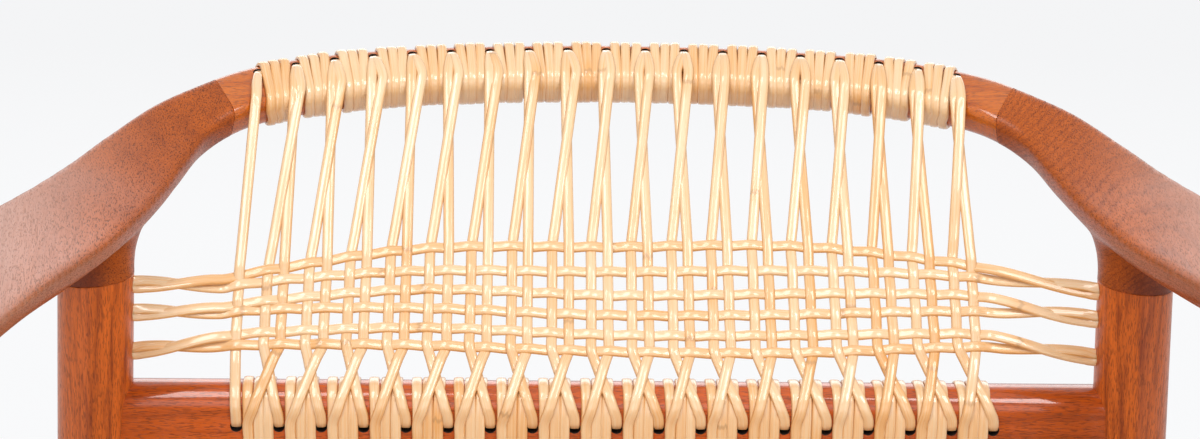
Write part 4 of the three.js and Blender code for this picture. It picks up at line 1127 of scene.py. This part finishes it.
def warp(column):
    """One upright strand, from its hole in the crest rail to its hole or its turns at the back rail."""
    pair, part = columns[column]
    hole = crest_holes[pair]
    place = column_place(pair, part) + chance.uniform(-column_wander, column_wander)
    # A strand that is right at the crest rail goes left and in front, so the sides are swapped here
    top_side = -part
    ridge = hole + ridge_shift(hole) + pair_ridges[pair]
    _, across, up = bow_frame(station_at(hole))
    mouth = hole + top_side * mouth_spread
    front_lift = 0.0005 if top_side > 0 else 0.0
    course = [
        (crest_top(mouth, crest_hole_inset - 0.0008, -0.008), across, tip_share),
        (crest_top(mouth, crest_hole_inset - 0.0006, -0.0035), across, tip_share),
        (crest_top(mouth, crest_hole_inset + 0.0008, -0.0002), 0.8 * across + 0.6 * up, tip_share),
    ]
    # Over the face it runs straight, as seen from the front, while the pair spreads to the ridge
    edge_spot = Vector(crest_wrap_point(hole, crest_leave, 0)[0])
    run = (crest_top(hole, 0, 0) - edge_spot).dot(Vector(across)) - crest_hole_inset

    def on_face(q):
        spread = mouth_spread + (pair_spreads[pair] - mouth_spread) * q
        return hole + (ridge - hole) * q + top_side * spread

    rises = (0.0030, 0.0010, 0.79), (0.0060, 0.0019, 0.86), (0.0110, over_wraps + 0.0002, 0.98)
    for inset, lift, share in rises:
        spot = crest_top(on_face(inset / run), crest_hole_inset + inset, lift + front_lift)
        course.append((spot, up, share))
    course.append(crest_wrap_point(on_face(1.0), crest_leave, over_wraps + 0.0003 + front_lift))
    # From there it runs straight to the weave, and the two of a pair cross, one over the other
    leaving = course[-1][0]
    first = weave_point(place, row_share(0, place)) + hang_way * upright_depth(column, 0)
    for q in (0.05, 0.12, 0.20, 0.28, 0.37, 0.46, 0.56, 0.66, 0.76, 0.86):
        near = smooth_step(q, 0.0, 0.20) * (1 - smooth_step(q, 0.50, 0.80))
        spot = leaving + (first - leaving) * q + hang_way * top_side * crossing_depth * near
        course.append((spot, hang_way))
    for row in range(len(row_shares)):
        spot = weave_point(place, row_share(row, place)) + hang_way * upright_depth(column, row)
        course.append((spot, hang_way))

    # From the last cross strand a strand runs straight to its hole, or to its place round the rail
    low = row_share(len(row_shares) - 1, place)
    winds = part == 1
    end = rail_holes[pair - 1] + band_places[0] if winds else rail_holes[pair]
    lift = over_rail_wraps + (0.0007 if winds else 0.0)
    band_top = rail_high.z - band_reached
    last = (band_top, over_rail_wraps * 0.5) if winds else (hole_height + 0.0070, over_rail_wraps * 0.6)

    def crossing(distance, fallen, depth):
        return weave_point(distance, low * (1 - fallen)) + hang_way * (part * depth), hang_way

    falls = [lambda d, q=q, f=f: crossing(d, q, crossing_depth * f)
             for q, f in ((0.3, 0.9), (0.6, 1.1), (0.85, 0.8))]
    falls += [lambda d, p=p: rail_point(d, p, lift) for p in (rail_shoulder, 12.6, 13.8, 15.0)]
    falls.append(lambda d: rail_face(d, *last))
    straight = [course[-1][0]] + [spot_at(place)[0] for spot_at in falls]
    reach = np.cumsum([np.linalg.norm(b - a) for a, b in zip(straight, straight[1:])])
    for spot_at, there in zip(falls, reach / reach[-1]):
        course.append(spot_at(place + (end - place) * there * (1.0 if winds else 0.97)))
    if winds:
        bottom = rail_low.z + back_rail_size[2]
        for q in (0.35, 0.7, 1.0):
            course.append(rail_face(end, band_top + (bottom - band_top) * q, bands_lift))
    else:
        course += [((end, rail_low.y + inward, hole_height + above), way) for inward, above, way in (
            (-0.0002, 0.0030, (0, -1.0, -0.15)), (0.0006, 0.0013, (0, -0.75, -0.65)),
            (0.0030, 0.0005, (0, -0.1, -1.0)), (0.0075, 0.0003, (0, 0, -1.0)))]
    return smooth_line(course)


pair_ridges = [chance.uniform(-ridge_wander, ridge_wander) for _ in crest_holes]
pair_spreads = [pair_spread + chance.uniform(-spread_wander, spread_wander) for _ in crest_holes]
lacing = [warp(column) for column in range(len(columns))]

# Six cross strands are woven through the uprights. Beyond the outer strands they run two and two,
# with one twist, into three holes of each rear leg.
post_offset = 0.0019
tail_start = 0.007
tail_depth_share = 0.6
twist_end = 0.9


def weft_tail(row, name, s):
    """Spots from the outer strand to the rear leg, with one twist of the pair on the way."""
    # The upper one of two goes down in front of the other and ends below it
    upper = 1 if row % 2 == 0 else -1
    edge = column_place(*columns[0 if s < 0 else -1]) + s * tail_start
    start, partner = (weave_point(edge, row_share(r, edge)) for r in (row, row + upper))
    centre = np.array(leg_centre(f"rear_leg_{name}", joint_height - weft_drops[row // 2]))
    mouth = centre - np.array([s * leg_radius, 0, 0])
    end = centre - np.array([s * (leg_radius - tail_depth_share * weft_hole_depth), 0, 0])
    middle = (start + partner) / 2
    found = []
    for q in np.linspace(0, twist_end, 7):
        turned = math.pi * q / twist_end
        gap = np.linalg.norm(start - middle) * (1 - q) + post_offset * q
        lift = np.array([0, 0, upper * gap * math.cos(turned)])
        here = middle + (mouth - middle) * q + lift
        found.append((here + hang_way * (upper * crossing_depth * math.sin(turned)), hang_way))
    for spot, share in ((mouth, 1.0), (end, 0.8)):
        found.append((spot - np.array([0, 0, upper * post_offset * share]), (0, -1.0, 0.15)))
    return found


def weft(row):
    """One cross strand, from the left rear leg through the uprights to the right one."""
    course = weft_tail(row, "left", -1)[::-1]
    for column, (pair, part) in enumerate(columns):
        place = column_place(pair, part)
        spot = weave_point(place, row_share(row, place)) - hang_way * upright_depth(column, row)
        course.append((spot, hang_way))
    return smooth_line(course + weft_tail(row, "right", 1))


lacing += [weft(row) for row in range(len(row_shares))]
lace = lay_strands("back_cane_laced", lacing, strand_width * 1.06)
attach(lace, "root")
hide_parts("back_cane_lacing")

# The back rail is wound with the same strands: each right-hand strand of a pair comes down the
# front and goes twice more round the rail. The end of the last one comes over the top and is tucked
# under the first, so three turns show above each interval between two holes.
top_places = (0.0056, 0.0118, 0.0180)
rail_wrap_thickness = 0.0013
# Places on the rail's outline: above its front, on its front, below its front, and once round
above_front, on_front, below_front = 8.0, 15.6, 17.0
all_round = 4 * (rail_corner_steps + 1) - 1.0


def rail_turn(start, end, from_place, to_place):
    """Spots from one place of the rail's outline on to another, while the strand moves sideways."""
    steps = max(2, int(to_place - from_place))
    found = []
    for q in (k / steps for k in range(1, steps + 1)):
        place = from_place + (to_place - from_place) * q
        found.append(rail_point(start + (end - start) * q, place % all_round, bands_lift))
    return found


rail_strands = []
for hole in rail_holes[:-1]:
    fronts = [hole + place + chance.uniform(-0.0002, 0.0002) for place in band_places]
    tops = [hole + place + chance.uniform(-0.0003, 0.0003) for place in top_places]
    fronts[0] = hole + band_places[0]
    course = [rail_point(fronts[0], on_front, bands_lift)]
    for front, top, next_front in zip(fronts, tops[1:], fronts[1:]):
        course += rail_turn(front, front, on_front, below_front)
        course += rail_turn(front, top, below_front, all_round)
        course += rail_turn(top, top, 0.0, above_front)
        course += rail_turn(top, next_front, above_front, on_front)
    course += rail_turn(fronts[2], fronts[2], on_front, below_front)
    course += rail_turn(fronts[2], hole + pair_pitch, below_front, all_round)
    tucked = [rail_point(tops[0], 0.0, bands_lift)]
    tucked += rail_turn(tops[0], tops[0], 0.0, above_front)
    tucked += rail_turn(tops[0], fronts[0], above_front, on_front)
    rail_strands += [smooth_line(course, 0.0016), smooth_line(tucked, 0.0016)]
rail_winding = lay_strands("back_rail_cane_wound", rail_strands, wound_width, rail_wrap_thickness)
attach(rail_winding, "root")
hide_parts("back_rail_cane_winding")

# The seat is woven of the same cane on its four rails: pairs of strands from front to back, with
# turns round the rails between them, and a close weft from side to side that goes over one pair
# and under the next. It hangs a little in the middle.
seat_pair_count = 19
seat_sag = 0.007
seat_cross_pitch = 0.0058
seat_lift = 0.0004
seat_width = 0.6
seat_strand_shift = 0.0030 / seat_width
seat_turn_shift = 0.0062 / seat_width
first_strand, last_pair, last_cross = 0.055, 0.945, 0.940
turns_reach = 0.035
long_lift, over_lift, under_lift = 0.0008, 0.0030, -0.0018
hook_soft, hook_cut = 0.007, 0.0021
tuck_depth = 0.010
half_height = seat_rail_size[1] / 2
rise_way = np.array([0, 0, 1.0])
back_out, front_out = np.array([0, 1.0, 0]), np.array([0, -1.0, 0])


def seat_rail_line(node):
    """The two ends of a rail's middle line, at the middles of the legs."""
    legs, heights, _ = seat_rails[node]
    return [np.array(leg_centre(leg, height)) for leg, height in zip(legs, heights)]


front_line, rear_line, left_line, right_line = (
    seat_rail_line(f"seat_rail_{place}") for place in ("front", "rear", "left", "right"))


def side_out(line, s):
    """Level way out of a side rail."""
    run = line[1] - line[0]
    return -s * np.cross(run / np.linalg.norm(run), rise_way)


def seat_spot(u, v, above=seat_lift):
    """Point of the seat: u from the left rail to the right, v from the rear rail to the front."""
    rear = rear_line[0] + (rear_line[1] - rear_line[0]) * u
    front = front_line[0] + (front_line[1] - front_line[0]) * u
    spot = rear + (front - rear) * v
    sag = seat_sag * (1 - (2 * u - 1)**4) * (1 - (2 * v - 1)**4)
    return spot + np.array([0, 0, half_height + above - sag])


def hook_round(inner, outward):
    """Spots that take a strand over a rail and back under it, from the middle of its top."""
    half = seat_rail_size[0] / 2 + seat_lift
    drop = 2 * half_height + 2 * seat_lift
    soft, cut = hook_soft, hook_cut
    found = []
    for out, down, turn in (
            (half - soft, 0, 0), (half - cut, -cut, 0.45), (half, -soft, 1), (half, soft - drop, 1),
            (half - cut, cut - drop, 1.6), (half - soft, -drop, 2), (soft - half, -drop, 2),
            (cut - half, cut - drop, 2.5), (-half, soft - drop, 3), (-half, -tuck_depth, 3)):
        angle = math.pi / 2 * turn
        way = math.sin(angle) * outward + math.cos(angle) * rise_way
        found.append((inner + outward * out + rise_way * down, way))
    return found


def seat_course(start, start_out, inside, end, end_out):
    """Spots from under one rail, over it, across the seat and round the rail across from it."""
    across = [(spot, rise_way) for spot in inside]
    return hook_round(start, start_out)[::-1] + across + hook_round(end, end_out)


cross_count = int((rear_line[0][1] - front_line[0][1] - 2 * leg_radius) / seat_cross_pitch)
cross_shares = np.linspace(first_strand, last_cross, cross_count)
pair_shares = np.linspace(first_strand, last_pair, seat_pair_count)
seat_long, seat_cross, seat_turns = [], [], []
for u in pair_shares:
    for at in (u - seat_strand_shift, u + seat_strand_shift):
        inside = [seat_spot(at, k / 30, seat_lift + long_lift) for k in range(1, 30)]
        course = seat_course(seat_spot(at, 0), back_out, inside, seat_spot(at, 1), front_out)
        seat_long.append(smooth_line(course, 0.005))
for k, v in enumerate(cross_shares):
    inside = [seat_spot(u, v, seat_lift + (under_lift if (pair + k) % 2 else over_lift))
              for pair, u in enumerate(pair_shares)]
    course = seat_course(
        seat_spot(0, v), side_out(left_line, -1), inside, seat_spot(1, v), side_out(right_line, 1))
    seat_cross.append(smooth_line(course, 0.0085))
gap = pair_shares[1] - pair_shares[0]
for v, out in ((0, back_out), (1, front_out)):
    for u in (pair_shares[0] - gap, *pair_shares):
        for at in (u + gap / 2 - seat_turn_shift / 2, u + gap / 2 + seat_turn_shift / 2):
            if turns_reach < at < 1 - turns_reach:
                top = seat_spot(at, v)
                course = [(top - out * tuck_depth, rise_way)] + hook_round(top, out)
                seat_turns.append(smooth_line(course, 0.003))
for name, strands, thickness in (("seat_cane_long_strands", seat_long, 0.0018),
                                 ("seat_cane_cross_strands", seat_cross, 0.0018),
                                 ("seat_cane_rail_turns", seat_turns, 0.0016)):
    woven = lay_strands(name, strands, strand_width, thickness)
    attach(woven, "root")
    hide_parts("seat_cane")
